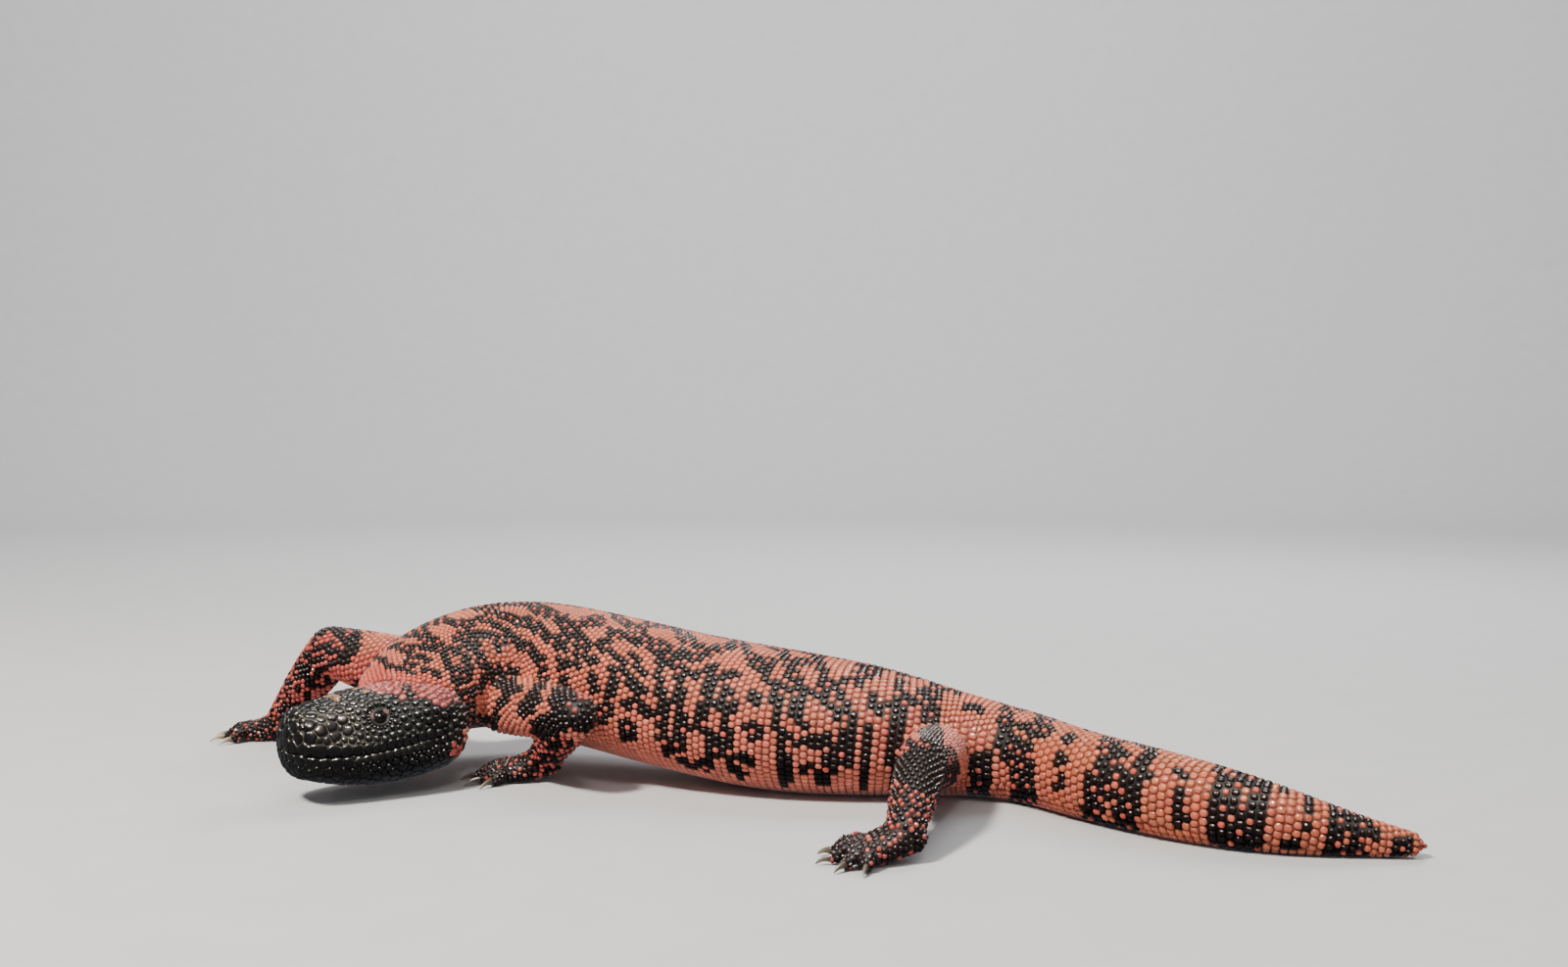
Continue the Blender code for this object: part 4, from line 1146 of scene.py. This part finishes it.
def seed_body(seeds, skin):
    """Rows of beads on trunk, tail, limbs and feet, kept where they lie on the skin."""
    tree = BVHTree.FromObject(skin, bpy.context.evaluated_depsgraph_get())
    points, normals = mesh_points(skin.data), mesh_points(skin.data, "normal")
    lookup = tree_of(points, range(len(points)))

    def put(region, place, direction, radius, height, flat, where, closeness=0.66):
        hit, _, _, distance = tree.find_nearest(place)
        if distance > OFF_SKIN:
            return
        spot = np.array(hit)
        if not seeds.free(spot, radius, closeness):
            return
        normal = unit(sum(normals[i] for _, i, _ in lookup.find_n(hit, 10)))
        direction = unit(direction - normal * (direction @ normal))
        seeds.add(region, spot, normal, direction, radius, height, flat, 1.0, where)

    def put_rows(region, rings, pitch, height, flat):
        for place, way, share, turn, size in ring_seeds(rings, lambda _: pitch):
            put(region, place, way, size / 2, height, flat, (share, turn))

    rings, _ = trunk_rings()
    trunk = ring_seeds(rings, lambda share: np.interp(share, PITCH_SHARES, PITCHES), belly=True)
    for place, way, share, turn, size in trunk:
        low = np.clip((0.5 - abs(turn - 0.5) - 0.27) / 0.08, 0.0, 1.0) * (share < 0.66)
        height = BEAD_HEIGHT * (1 - BELLY_FLATTER * low)
        put("trunk", place, way, size / 2, height, 0.85 * low, (share, turn))
    for name, limb in LIMBS.items():
        finer = 0.0 if name.startswith("front") else BACK_LIMBS_FINER
        (upper, _), (lower, _) = limb_lengths(limb)
        put_rows(f"upper_{name}", upper, UPPER_LIMB_PITCH - finer, LIMB_BEAD_HEIGHT, 0.0)
        put_rows(f"lower_{name}", lower, LOWER_LIMB_PITCH - finer, LIMB_BEAD_HEIGHT, 0.0)
        put_rows(f"palm_{name}", palm_rings(limb)[0], PALM_PITCH, PALM_BEAD_HEIGHT, 0.2)
        for number in range(5):
            rings, _ = toe_rings(limb, number)
            put_rows(f"toe_{name}", rings, TOE_PITCH, TOE_BEAD_HEIGHT, 0.3)
    fill_gaps(seeds, points, normals)


def on_nape(point):
    """Whether a point lies behind the ears, where the head's scales meet the neck's."""
    away = point - SNOUT_TIP
    back, height = -(away @ FORWARD), away @ HEAD_UP
    return back > 0.0600 or (back > 0.0520 and height > 0.0085)


def fill_gaps(seeds, points, normals):
    """Beads in the places between two parts' rows, of the nearest scale's kind."""
    table = seeds.table()
    on_head = table["region"] == "head"
    everywhere = tree_of(table["place"], range(len(on_head)))
    on_body = tree_of(table["place"], np.flatnonzero(~on_head))
    for i in rng.permutation(len(points)):
        _, closest, distance = everywhere.find(points[i])
        if on_head[closest] and not on_nape(points[i]):
            continue
        _, which, _ = on_body.find(points[i])
        region = seeds.region[which]
        most = GAP_BEAD_ON_HEAD if on_head[closest] else GAP_BEAD
        radius = min(table["radius"][which], most)
        if distance < 1.4 * radius or distance > 0.01:
            continue
        if seeds.free(points[i], radius * 0.8, 0.66 if on_head[closest] else 0.85):
            where = tuple(table["where"][which])
            way = unit(table["along"][which] - normals[i] * (table["along"][which] @ normals[i]))
            seeds.add(region, points[i], normals[i], way, radius * 0.8, GAP_BEAD_HEIGHT, 0.0, 1.0, where)


def photo_pixels(points):
    """Where the photograph's camera sees points, in the photograph's pixels."""
    ahead = np.array((0.0, math.cos(CAMERA_PITCH), -math.sin(CAMERA_PITCH)))
    up = np.array((0.0, math.sin(CAMERA_PITCH), math.cos(CAMERA_PITCH)))
    away = points - CAMERA_PLACE
    depth = away @ ahead
    across = PHOTO_WIDTH / 2 + FOCAL_PIXELS * away[..., 0] / depth
    down = PHOTO_HEIGHT / 2 - FOCAL_PIXELS * (away @ up) / depth
    return np.stack([across, down], axis=-1)


def painted(pixels, colours, strokes, radius=0.0):
    """Lays strokes over the colours of the points at these pixels, each about a bead wide at least."""
    least = np.clip(np.full(len(pixels), radius) * BEAD_PIXELS, 0.0, LEAST_LIMIT)
    for colour, width, *line in strokes:
        line = np.array(line, float)
        nearest = np.full(len(pixels), 1e9)
        for a, b in zip(line, line[1:]):
            t = np.clip(((pixels - a) @ (b - a)) / max((b - a) @ (b - a), 1e-9), 0.0, 1.0)
            nearest = np.minimum(nearest, np.linalg.norm(pixels - a - t[:, None] * (b - a), axis=1))
        wider = width + BLACK_SPREAD * (colour == BLACK)
        across = np.maximum(wider, least * (PINK_LEAST if colour == PINK else 1.0))
        colours[nearest < across / 2] = colour
    return colours


def smooth_mesh(name, points, quads, tris, tints, maps):
    """A mesh object straight from arrays, with its colours and its map for baking."""
    mesh = bpy.data.meshes.new(name)
    mesh.vertices.add(len(points))
    mesh.vertices.foreach_set("co", points.ravel())
    loops = np.concatenate([quads.ravel(), tris.ravel()])
    mesh.loops.add(len(loops))
    mesh.loops.foreach_set("vertex_index", loops)
    starts = np.concatenate([np.arange(len(quads)) * 4, len(quads) * 4 + np.arange(len(tris)) * 3])
    mesh.polygons.add(len(starts))
    mesh.polygons.foreach_set("loop_start", starts)
    mesh.update(calc_edges=True)
    mesh.shade_smooth()
    paint(mesh, tints)
    layer = mesh.uv_layers.new(name="OFBake")
    layer.data.foreach_set("uv", maps[loops].ravel())
    return linked(name, mesh)


def paint(mesh, tints):
    layer = mesh.color_attributes.new("Tint", "FLOAT_COLOR", "POINT")
    layer.data.foreach_set("color", np.hstack([tints, np.ones((len(tints), 1))]).ravel())


def scale_frames(table):
    """Each seed's neighbours, seen flat on its own plane, and how the skin curves there."""
    places, normals = table["place"], table["normal"]
    tree = tree_of(places, range(len(places)))
    near = np.array([[i for _, i, _ in tree.find_n(place, NEIGHBOURS + 1)][1:] for place in places])
    across = np.cross(normals, table["along"])
    away = places[near] - places[:, None]
    distance = np.linalg.norm(away, axis=2)
    a = np.einsum("nki,ni->nk", away, table["along"])
    b = np.einsum("nki,ni->nk", away, across)
    rise = np.einsum("nki,ni->nk", away, normals)
    facing = np.einsum("nki,ni->nk", normals[near], normals)
    valid = (facing > 0.05) & (distance > 1e-6)
    weight = valid * np.exp(-((distance / 0.005) ** 2))
    terms = np.stack([a * a / 2, a * b, b * b / 2], axis=2)
    square = np.einsum("nk,nki,nkj->nij", weight, terms, terms) + np.eye(3) * 1e-14
    right = np.einsum("nk,nki,nk->ni", weight, terms, rise)
    bend = np.linalg.solve(square, right[..., None])[..., 0]
    stretch = distance / np.maximum(np.hypot(a, b), 1e-9)
    return near, across, a * stretch, b * stretch, distance, valid, bend


def scale_outlines(table, frames, steps):
    """How far each scale reaches each way: halfway to its neighbours, with its corners rounded."""
    near, _, a, b, distance, valid, _ = frames
    radius = table["radius"]
    half = (distance + radius[:, None] - radius[near]) / 2
    half = np.clip(half, 0.25 * distance, 0.80 * distance)
    blocked = table["built"][near] < 0.5
    half = np.where(blocked, np.maximum(distance - radius[near], 0.2 * distance), half)
    angles = np.arange(steps) * math.tau / steps
    cosine = a[..., None] * np.cos(angles) + b[..., None] * np.sin(angles)
    cosine = cosine / np.maximum(distance, 1e-9)[..., None]
    inverse = np.where(valid[..., None] & (cosine > 0.05), cosine / half[..., None], 0.0)
    sharp = (5 + 19 * table["flat"])[:, None, None]
    own = 1 / ((1.25 + 0.45 * table["flat"]) * radius)[:, None]
    total = (inverse**sharp).sum(1) + own ** sharp[:, 0]
    return (total ** (-1 / sharp[:, 0]) - GROOVE) * table["close"][:, None], angles


def shaped_by_colour(table, near, colours):
    """Makes the beads of black fields smaller, rounder and taller than those of pink ones."""
    body = table["region"] != "head"
    black = (colours.max(1) < DARK).astype(float)
    dark = (black + black[near[:, :6]].sum(1)) / 7
    table["close"] = np.where(body, 1.0 - 0.10 * dark, 1.0)
    table["height"] = table["height"] * np.where(body, 1.0 + 0.10 * dark, 1.0)
    pale_trunk = (table["region"] == "trunk") * (1 - dark)
    table["flat"] = np.maximum(table["flat"], 0.35 * pale_trunk)


# Each form of scale from its foot to its top: share of its reach, share of its height, and brightness,
# which is painted shade towards the foot and a painted highlight on the top.
BEAD_PROFILE = ((1.00, -0.35, 0.45), (0.95, 0.30, 0.80), (0.76, 0.74, 1.00), (0.42, 0.95, 1.12))
PLATE_PROFILE = ((1.00, -0.35, 0.45), (0.97, 0.45, 0.80), (0.86, 0.88, 1.00), (0.50, 0.99, 1.05))
TOP = (0.0, 1.0, 1.15)


def scale_faces(count, rows, steps):
    """The faces of some scales, each made of rings of points and one point on top."""
    each = rows * steps + 1
    i = np.arange(steps)
    j = (i + 1) % steps
    row = np.stack([i, j, steps + j, steps + i], 1)
    quads = np.concatenate([row + r * steps for r in range(rows - 1)])
    top = (rows - 1) * steps
    tris = np.stack([top + i, top + j, np.full(steps, each - 1)], 1)
    offsets = np.arange(count)[:, None, None] * each
    return (quads[None] + offsets).reshape(-1, 4), (tris[None] + offsets).reshape(-1, 3)


def build_scales(name, table, frames, colours, chosen, maps, steps):
    """One mesh of all the chosen scales."""
    reach, angles = scale_outlines(table, frames, steps)
    _, across, _, _, _, _, bend = frames
    reach = np.clip(reach[chosen], 0.0002, None)
    place, normal = table["place"][chosen], table["normal"][chosen]
    along, across, bend = table["along"][chosen], across[chosen], bend[chosen]
    flat, height = table["flat"][chosen], table["height"][chosen]
    count, rows = len(chosen), len(BEAD_PROFILE)
    points, tints, spread = [], [], []
    flatness = flat[:, None, None]
    profile = np.array(BEAD_PROFILE)[None] * (1 - flatness) + np.array(PLATE_PROFILE)[None] * flatness
    profile = np.concatenate([profile, np.tile(TOP, (count, 1, 1))], axis=1)
    for r in range(rows + 1):
        size = reach * profile[:, r, 0:1]
        x, y = size * np.cos(angles), size * np.sin(angles)
        sag = bend[:, 0:1] * x * x / 2 + bend[:, 1:2] * x * y + bend[:, 2:3] * y * y / 2
        sag = np.clip(sag, -0.5 * size, 0.3 * size)
        level = sag + (height * profile[:, r, 1])[:, None]
        if r == rows:
            x, y, level = x[:, :1], y[:, :1], level[:, :1]
        spots = place[:, None] + x[..., None] * along[:, None] + y[..., None] * across[:, None]
        points.append(spots + level[..., None] * normal[:, None])
        # the scale's colour is darker towards its foot as painted shade, and lighter on its top as a
        # painted highlight
        tints.append(np.repeat((colours[chosen] * profile[:, r, 2:3])[:, None], x.shape[1], axis=1))
        shape = np.stack([x, y], axis=-1) / np.maximum(reach.max(1), 1e-6)[:, None, None]
        spread.append(maps[chosen][:, None] + shape * (PATCH / 2))
    points, tints = (np.concatenate(parts, axis=1).reshape(-1, 3) for parts in (points, tints))
    spread = np.concatenate(spread, axis=1).reshape(-1, 2)
    return smooth_mesh(name, on_floor(points), *scale_faces(count, rows, steps), tints, spread)


class Look:
    """A material, built from a few kinds of nodes whose sizes are in the object's own metres."""

    def __init__(self, name):
        self.material = bpy.data.materials.new(name)
        self.material.use_nodes = True
        self.link = self.material.node_tree.links.new
        self.shader = self.material.node_tree.nodes["Principled BSDF"]
        self.place = self.node("TexCoord").outputs["Object"]

    def node(self, kind, **sockets):
        """A new node with these inputs linked or set."""
        made = self.material.node_tree.nodes.new(f"ShaderNode{kind}")
        self.set(made, **sockets)
        return made

    def set(self, node, **sockets):
        for name, value in sockets.items():
            socket = node.inputs[name.replace("_", " ")]
            if isinstance(value, bpy.types.NodeSocket):
                self.link(value, socket)
            else:
                socket.default_value = value

    def noise(self, scale, detail=2.0):
        return self.node("TexNoise", Vector=self.place, Scale=scale, Detail=detail).outputs["Fac"]

    def spread(self, value, low, high):
        """A value from 0 to 1, spread between two others."""
        return self.node("MapRange", Value=value, To_Min=low, To_Max=high).outputs["Result"]

    def bump(self, height, strength, distance=0.0001):
        made = self.node("Bump", Height=height, Strength=strength, Distance=distance)
        self.link(made.outputs["Normal"], self.shader.inputs["Normal"])

    def tint(self, factor=None):
        """The mesh's own colours, times a factor."""
        own = self.node("VertexColor")
        own.layer_name = "Tint"
        if factor is None:
            return own.outputs["Color"]
        mixed = self.node("Mix")
        mixed.data_type = "RGBA"
        mixed.blend_type = "MULTIPLY"
        self.set(mixed, Factor=1.0, A=own.outputs["Color"], B=factor)
        return mixed.outputs["Result"]


def scale_material(name, gloss, grain, coat, sheen):
    """Horny scales: their own colours mottled, a fine grain, a soft tinted sheen and a glossy coat."""
    look = Look(name)
    wear = look.noise(260.0)
    look.bump(look.noise(2600.0), grain)
    look.set(
        look.shader,
        Base_Color=look.tint(look.spread(look.noise(700.0, 3.0), 0.68, 1.28)),
        Roughness=look.spread(wear, gloss, gloss + 0.22),
        Specular_IOR_Level=0.30,
        Specular_Tint=(*sheen, 1.0),
        Coat_Weight=coat,
        Coat_IOR=1.50,
        Coat_Roughness=look.spread(wear, 0.03, 0.11),
    )
    return look.material


def skin_material():
    """Soft skin between the scales: the scales' colours, darkened as painted shade in the grooves, with
    fine creases.
    """
    look = Look("skin")
    creases = look.node("TexVoronoi", Vector=look.place, Scale=1700.0)
    creases.feature = "DISTANCE_TO_EDGE"
    look.bump(creases.outputs["Distance"], 0.5, 0.0002)
    rough = look.spread(look.noise(400.0), 0.45, 0.75)
    look.set(look.shader, Base_Color=look.tint(), Roughness=rough, Specular_IOR_Level=0.2)
    return look.material


def horn_material():
    """Claws: dark at the root, pale and streaked towards the tip."""
    look = Look("horn")
    streaks = look.noise(900.0, 4.0)
    look.bump(streaks, 0.3)
    colour = look.tint(look.spread(streaks, 0.6, 1.3))
    look.set(look.shader, Base_Color=colour, Roughness=look.spread(streaks, 0.25, 0.45))
    return look.material


def eye_material():
    """A dark brown iris with fine streaks round a black pupil, under a clear cornea."""
    look = Look("eye")
    flatten = look.node("VectorMath")
    flatten.operation = "MULTIPLY"
    flatten.inputs[1].default_value = (1.0, 1.0, 0.0)
    look.link(look.place, flatten.inputs[0])
    reach = look.node("VectorMath")
    reach.operation = "LENGTH"
    look.link(flatten.outputs["Vector"], reach.inputs[0])
    streaks = look.noise(1600.0, 3.0)
    wobble = look.node("Math")
    wobble.operation = "MULTIPLY_ADD"
    wobble.inputs[1].default_value = 0.0005
    look.link(streaks, wobble.inputs[0])
    look.link(reach.outputs["Value"], wobble.inputs[2])
    share = look.node("MapRange", Value=wobble.outputs["Value"], From_Min=0.0, From_Max=EYE_RADIUS)
    ramp = look.node("ValToRGB", Fac=share.outputs["Result"])
    stops = ramp.color_ramp.elements
    for stop, (position, colour) in zip((stops[0], stops[1]), (IRIS[0], IRIS[-1])):
        stop.position = position
        stop.color = (*colour, 1)
    for position, colour in IRIS[1:-1]:
        stops.new(position).color = (*colour, 1)
    look.bump(streaks, 0.15)
    look.set(
        look.shader,
        Base_Color=ramp.outputs["Color"],
        Roughness=0.30,
        Specular_IOR_Level=0.05,
        Coat_Weight=1.0,
        Coat_IOR=1.38,
        Coat_Roughness=0.02,
    )
    return look.material


def dress(obj, material, slot, nodes=()):
    obj.data.materials.clear()
    obj.data.materials.append(material)
    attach(obj, "root")
    if nodes:
        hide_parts(*nodes)


def make_claws(material):
    """All five claws of each foot as one piece."""
    for name, limb in LIMBS.items():
        tip = CLAW_TIP * (1.0 if name.endswith("right") else LEFT_CLAWS_DARKER)
        parts, shades = [], []
        for number in range(5):
            rings, tips = claw_rings(limb, number)
            parts.append(loft_parts(on_floor(rings), tips))
            share = np.repeat(np.linspace(0, 1, len(rings)), rings.shape[1])
            shades.append(np.concatenate([share, (0.0, 1.0)]))
        claws = mesh_object(f"claws_{name}", parts)
        share = np.clip(np.concatenate(shades) * 1.6, 0.0, 1.0)[:, None]
        paint(claws.data, CLAW_ROOT * (1 - share) + tip * share)
        dress(claws, material, "horn", [f"claw_{name}_{number + 1}" for number in range(5)])


def make_eyes(material):
    """Two balls that face outwards along their own Z."""
    x, y, z = np.eye(3)
    angles = np.radians(np.linspace(4, 176, 40))
    for name, side in (("eye_left", 1), ("eye_right", -1)):
        middle, normal = eye_place(side)
        rings = []
        for s, c in zip(np.sin(angles), np.cos(angles)):
            rings.append(ring(z * (EYE_RADIUS * c), x, y, EYE_RADIUS * s, EYE_RADIUS * s, 48))
        parts = loft_parts(np.array(rings), ((0, 0, EYE_RADIUS), (0, 0, -EYE_RADIUS)))
        ball = mesh_object(f"{name}_ball", [parts])
        turn = Vector(normal).to_track_quat("Z", "Y").to_matrix().to_4x4()
        ball.matrix_world = Matrix.Translation(middle) @ turn
        dress(ball, material, "eye", [name])


def facing_camera(rings):
    """How squarely each point of a lofted body faces the photograph's camera, from -1 to 1."""
    ahead = np.gradient(rings, axis=0)
    around = np.roll(rings, -1, axis=1) - np.roll(rings, 1, axis=1)
    normals = unit(np.cross(ahead, around))
    outward = rings - rings.mean(1, keepdims=True)
    normals *= np.sign((normals * outward).sum(2, keepdims=True))
    return (normals * unit(CAMERA_PLACE - rings)).sum(2)


def seen_twins(rings, where):
    """Points of a lofted body that the camera sees, one for each of its scales.

    It is the scale's own place where that shows, or else the nearest that shows to its mirror image."""
    facing = facing_camera(rings)
    rows = np.clip(np.round(where[:, 0] * (len(rings) - 1)).astype(int), 1, len(rings) - 2)
    turns = np.arange(rings.shape[1]) / rings.shape[1]
    columns = np.round(where[:, 1] * rings.shape[1]).astype(int) % rings.shape[1]
    own = facing[rows, columns] > SEEN
    wobble = np.round(MIRROR_SHIFT * np.sin(where[:, 0] * 47) * len(rings)).astype(int)
    far_rows = np.clip(rows + wobble, 1, len(rings) - 2)
    gap = np.abs((turns[None] - (1 - where[:, 1:2]) + 0.5) % 1.0 - 0.5)
    gap[facing[far_rows] <= SEEN] += 10
    twins = np.argmin(gap, axis=1)
    rows = np.where(own, rows, far_rows)
    columns = np.where(own, columns, twins)
    return rings[rows, columns], own


def limb_forms():
    """The lofted body that each limb's scales take their places on for the markings."""
    forms = {}
    for name, limb in LIMBS.items():
        shown = LIMBS["back_left"] if name == "back_right" else limb
        for part, (rings, _) in zip(("upper", "lower"), limb_lengths(shown)):
            forms[f"{part}_{name}"] = rings
    return forms


def scattered(members, near, share, crowd):
    """Picks a share of the members at random, none with more than crowd picked neighbours."""
    picked = set()
    for i in rng.permutation(members):
        if len(picked) >= share * len(members):
            break
        if sum(j in picked for j in near[i][:6]) <= crowd:
            picked.add(int(i))
    return np.array(sorted(picked), int)


def seed_colours(table, near):
    """Every scale's colour, from the strokes where the photograph shows it or its twin."""
    region, where, places = table["region"], table["where"], table["place"]
    colours = np.tile(PINK, (len(places), 1)).astype(float)
    forms = {"trunk": trunk_rings()[0], **limb_forms()}
    for part in sorted(set(region)):
        members = np.flatnonzero(region == part)
        kind = part.replace("back_right", "back_left")
        if part.startswith(("palm", "toe")):
            kind = part.split("_")[0]
        colour, reds = LIMB_GROUNDS.get(kind, (PINK, 0.0))
        if part == "head":
            colour = JET
        colours[members] = colour
        if reds > 0.5:
            colours[members] = RED
            colours[scattered(members, near, 1 - reds, 2)] = colour
        elif reds > 0:
            colours[scattered(members, near, reds, 1 if reds < 0.3 else 2)] = RED
        if part == "head":
            mirrored = head_points(where[members, 0], np.abs(where[members, 1]))
            colours[members] = painted(photo_pixels(mirrored), colours[members], HEAD_STROKES)
        elif part in forms:
            twins, own = seen_twins(forms[part], where[members])
            if not part.endswith("back_right"):
                twins[own] = places[members[own]]
            strokes = LIMB_STROKES.get(kind, ())
            if part == "trunk" or kind in TRUNK_ON_LIMBS:
                strokes = (*TRUNK_ON_LIMBS.get(kind, ()), *TRUNK_STROKES, *strokes)
            radius = table["radius"][members]
            colours[members] = painted(photo_pixels(twins), colours[members], strokes, radius)
    dark = colours.max(1) < DARK
    inner = np.flatnonzero(dark & (dark[near[:, :6]].sum(1) >= 5) & (region == "trunk"))
    colours[scattered(inner, near, ROSE_SHARE, 0)] = ROSE
    return varied(colours, table)


def varied(colours, table):
    """The same colours warmer along the back, duller below, and a little different from scale to scale."""
    bright = colours[:, 0] > BRIGHT
    up = np.clip(table["normal"][:, 2], -1, 1)[:, None]
    warm = 1 + np.clip(up, 0, 1) * BACK_WARMER - np.clip(-up, 0, 1) * BELLY_DULLER
    tail = np.clip((table["where"][:, 0] - TAIL_FROM) / TAIL_BLEND, 0.0, 1.0) * (table["region"] == "trunk")
    warm = warm * (1 - tail[:, None] * TAIL_DULLER)
    colours = np.where(bright[:, None], colours * warm, colours)
    shade = rng.normal(1.0, SHADE_VARIES, (len(colours), 1))
    shade = shade * (1 + rng.normal(0, HUE_VARIES, colours.shape))
    return np.clip(colours * np.clip(shade, 0.7, 1.35), 0.002, 0.95)


def bake_maps(table):
    """Each scale's place on an unwrap of its own part: along it and round it."""
    maps = table["where"].copy()
    head = table["region"] == "head"
    maps[head, 0] = maps[head, 0] / HEAD_LENGTH
    maps[head, 1] = (maps[head, 1] + 180) / 360
    return 0.01 + 0.98 * np.clip(maps, 0.0, 1.0)


def make_skin(skin, head, table, colours):
    """Joins the head's skin to the body's and gives it the colours of the scales on it, darkened as painted
    shade in the grooves.
    """
    both = bmesh.new()
    for part in (skin, head):
        both.from_mesh(part.data)
    both.to_mesh(skin.data)
    both.free()
    bpy.data.objects.remove(head)
    skin.data.shade_smooth()
    built = np.flatnonzero(table["built"] > 0.5)
    tree = tree_of(table["place"], built)
    points = mesh_points(skin.data)
    near = np.array([[i for _, i, _ in tree.find_n(point, 3)] for point in points])
    darkest = near[np.arange(len(near)), np.argmin(colours[near].sum(2), axis=1)]
    on_head = table["region"][near[:, 0]] == "head"
    # the skin takes the darkest nearby scale's colour, darkened as painted shade in the grooves
    paint(skin.data, head_tints(points, on_head, colours[darkest] * SKIN_PAINTED_SHADE))
    return skin


def head_tints(points, on_head, tints):
    """The skin's colours with pale seams between the snout's plates, partly their own paler colour and
    partly a painted highlight that is brighter higher up, and with the soft lids.
    """
    away = points - SNOUT_TIP
    back, lateral, height = -(away @ FORWARD), away @ LEFT, away @ HEAD_UP
    dark = tints.max(1) < 0.05
    # the pale seams are partly a painted highlight on the plates' rims, paler higher up the snout
    seam_and_glint = np.clip((SEAM_AND_GLINT_END - back) / SEAM_AND_GLINT_FADE, 0.0, 1.0) * np.clip(height / 0.003 + 0.5, 0.15, 1.0)
    seam_and_glint = seam_and_glint * on_head * dark
    for side in (1, -1):
        away = np.linalg.norm(points - opening(NOSTRIL_AT, side)[0], axis=1)
        seam_and_glint[away < DARK_ROUND_NOSTRIL] = 0
    mirrored = points - 2 * np.minimum(lateral, 0.0)[:, None] * LEFT
    mouth = head_points(np.linspace(0.0002, MOUTH_CORNER, 160), 90.0)
    for i in np.flatnonzero(seam_and_glint > 0):
        if np.linalg.norm(mouth - mirrored[i], axis=1).min() < DARK_ROUND_MOUTH:
            seam_and_glint[i] = 0  # the mouth's line stays dark
    tints = tints * (1 - seam_and_glint[:, None]) + np.array(PALE_SUTURE_AND_GLINT) * seam_and_glint[:, None]
    middle, _ = eye_place(1)
    lids = np.flatnonzero(np.linalg.norm(mirrored - middle, axis=1) < EYE_RADIUS * 1.5)
    tints[lids] = painted(photo_pixels(mirrored[lids]), tints[lids] * 0.6, LID_STROKES)
    return tints


def scale_pieces(table):
    """The pieces that the scales are made in: name, which scales, slot and corners round each scale."""
    region, share = table["region"], table["where"][:, 0]
    pieces = [("head", region == "head", "black_scales", PLATE_STEPS)]
    for name, low, high in TRUNK_PIECES:
        chosen = (region == "trunk") & (share >= low) & (share < high)
        pieces.append((name, chosen, "pink_beads", PROFILE_STEPS))
    for name in LIMBS:
        pieces.append((name, np.char.endswith(region, name), "limb_beads", PROFILE_STEPS))
    return pieces


def main():
    """The whole animal."""
    skin, head = body_skin(), head_skin()
    seeds = Seeds()
    seed_head(seeds, skin)
    seed_body(seeds, skin)
    table = seeds.table()
    frames = scale_frames(table)
    colours = seed_colours(table, frames[0])
    shaped_by_colour(table, frames[0], colours)
    maps = bake_maps(table)
    materials = {
        "black_scales": scale_material("head_plates", 0.26, 0.16, 1.00, (1.0, 0.90, 0.80)),
        "pink_beads": scale_material("body_beads", 0.34, 0.25, 0.80, (0.6, 0.30, 0.25)),
        "limb_beads": scale_material("limb_scales", 0.34, 0.25, 0.90, (0.6, 0.30, 0.25)),
    }
    for name, members, slot, steps in scale_pieces(table):
        chosen = np.flatnonzero(members & (table["built"] > 0.5))
        piece = build_scales(f"scales_{name}", table, frames, colours, chosen, maps, steps)
        dress(piece, materials[slot], slot)
    skin = make_skin(skin, head, table, colours)
    flesh = [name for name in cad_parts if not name.startswith(("claw", "eye"))]
    dress(skin, skin_material(), "pink_beads", flesh)
    make_claws(horn_material())
    make_eyes(eye_material())


def make_floor():
    """A plain pale floor that bends up into a wall all round."""
    look = Look("floor")
    look.set(look.shader, Base_Color=look.spread(look.noise(40.0), 0.60, 0.66), Roughness=0.75)
    foot = FLOOR_REACH - WALL_BEND
    rim = [(foot - 0.1, 0.0)]
    for t in np.linspace(0, math.pi / 2, 24):
        rim.append((foot + WALL_BEND * math.sin(t), WALL_BEND - WALL_BEND * math.cos(t)))
    rim.append((FLOOR_REACH, WALL_HEIGHT))
    turns = np.arange(FLOOR_SIDES) * math.tau / FLOOR_SIDES
    points = [(r * math.cos(t), r * math.sin(t), z) for r, z in rim for t in turns]
    faces = [tuple(range(FLOOR_SIDES))]
    for row in range(0, len(points) - FLOOR_SIDES, FLOOR_SIDES):
        faces += quads_between(row + FLOOR_SIDES, row, FLOOR_SIDES)
    floor = mesh_object("floor", [(points, faces)])
    floor.data.materials.append(look.material)
    floor.visible_glossy = False  # so that the glossy blacks mirror the lamps and not the pale floor
    floor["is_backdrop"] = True


def make_lamps():
    """Soft studio light, with a small lamp for the glints alone and two that light the wall."""
    world = bpy.data.worlds.new("studio")
    bpy.context.scene.world = world
    world.use_nodes = True
    world.node_tree.nodes["Background"].inputs["Color"].default_value = SKY_COLOUR
    world.node_tree.nodes["Background"].inputs["Strength"].default_value = SKY_STRENGTH
    for name, place, size, power, colour in LAMPS:
        light = bpy.data.lights.new(name, "AREA")
        light.size = size
        light.energy = power
        light.color = colour
        lamp = linked(name, light)
        lamp.location = place
        lamp.visible_diffuse = name != "sparkle"
        aim = Vector((0.0, 0.0, 0.02))
        if name.startswith("backdrop"):
            aim = Vector((0.0, math.copysign(3.0, place[1]), 0.6))
        lamp.rotation_euler = (aim - Vector(place)).to_track_quat("-Z", "Y").to_euler()


def make_camera():
    """The photograph's camera."""
    lens = bpy.data.cameras.new("camera")
    lens.sensor_width = SENSOR_WIDTH
    lens.lens = FOCAL_PIXELS / PHOTO_WIDTH * SENSOR_WIDTH
    lens.clip_start = 0.01
    camera = linked("camera", lens)
    camera.location = CAMERA_PLACE
    camera.rotation_euler = (math.pi / 2 - CAMERA_PITCH, 0, 0)
    bpy.context.scene.camera = camera


main()
make_floor()
make_lamps()
make_camera()
boxes = {"cad": cad_box, "visual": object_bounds()}
{name: [list(corner) for corner in box] for name, box in boxes.items()}
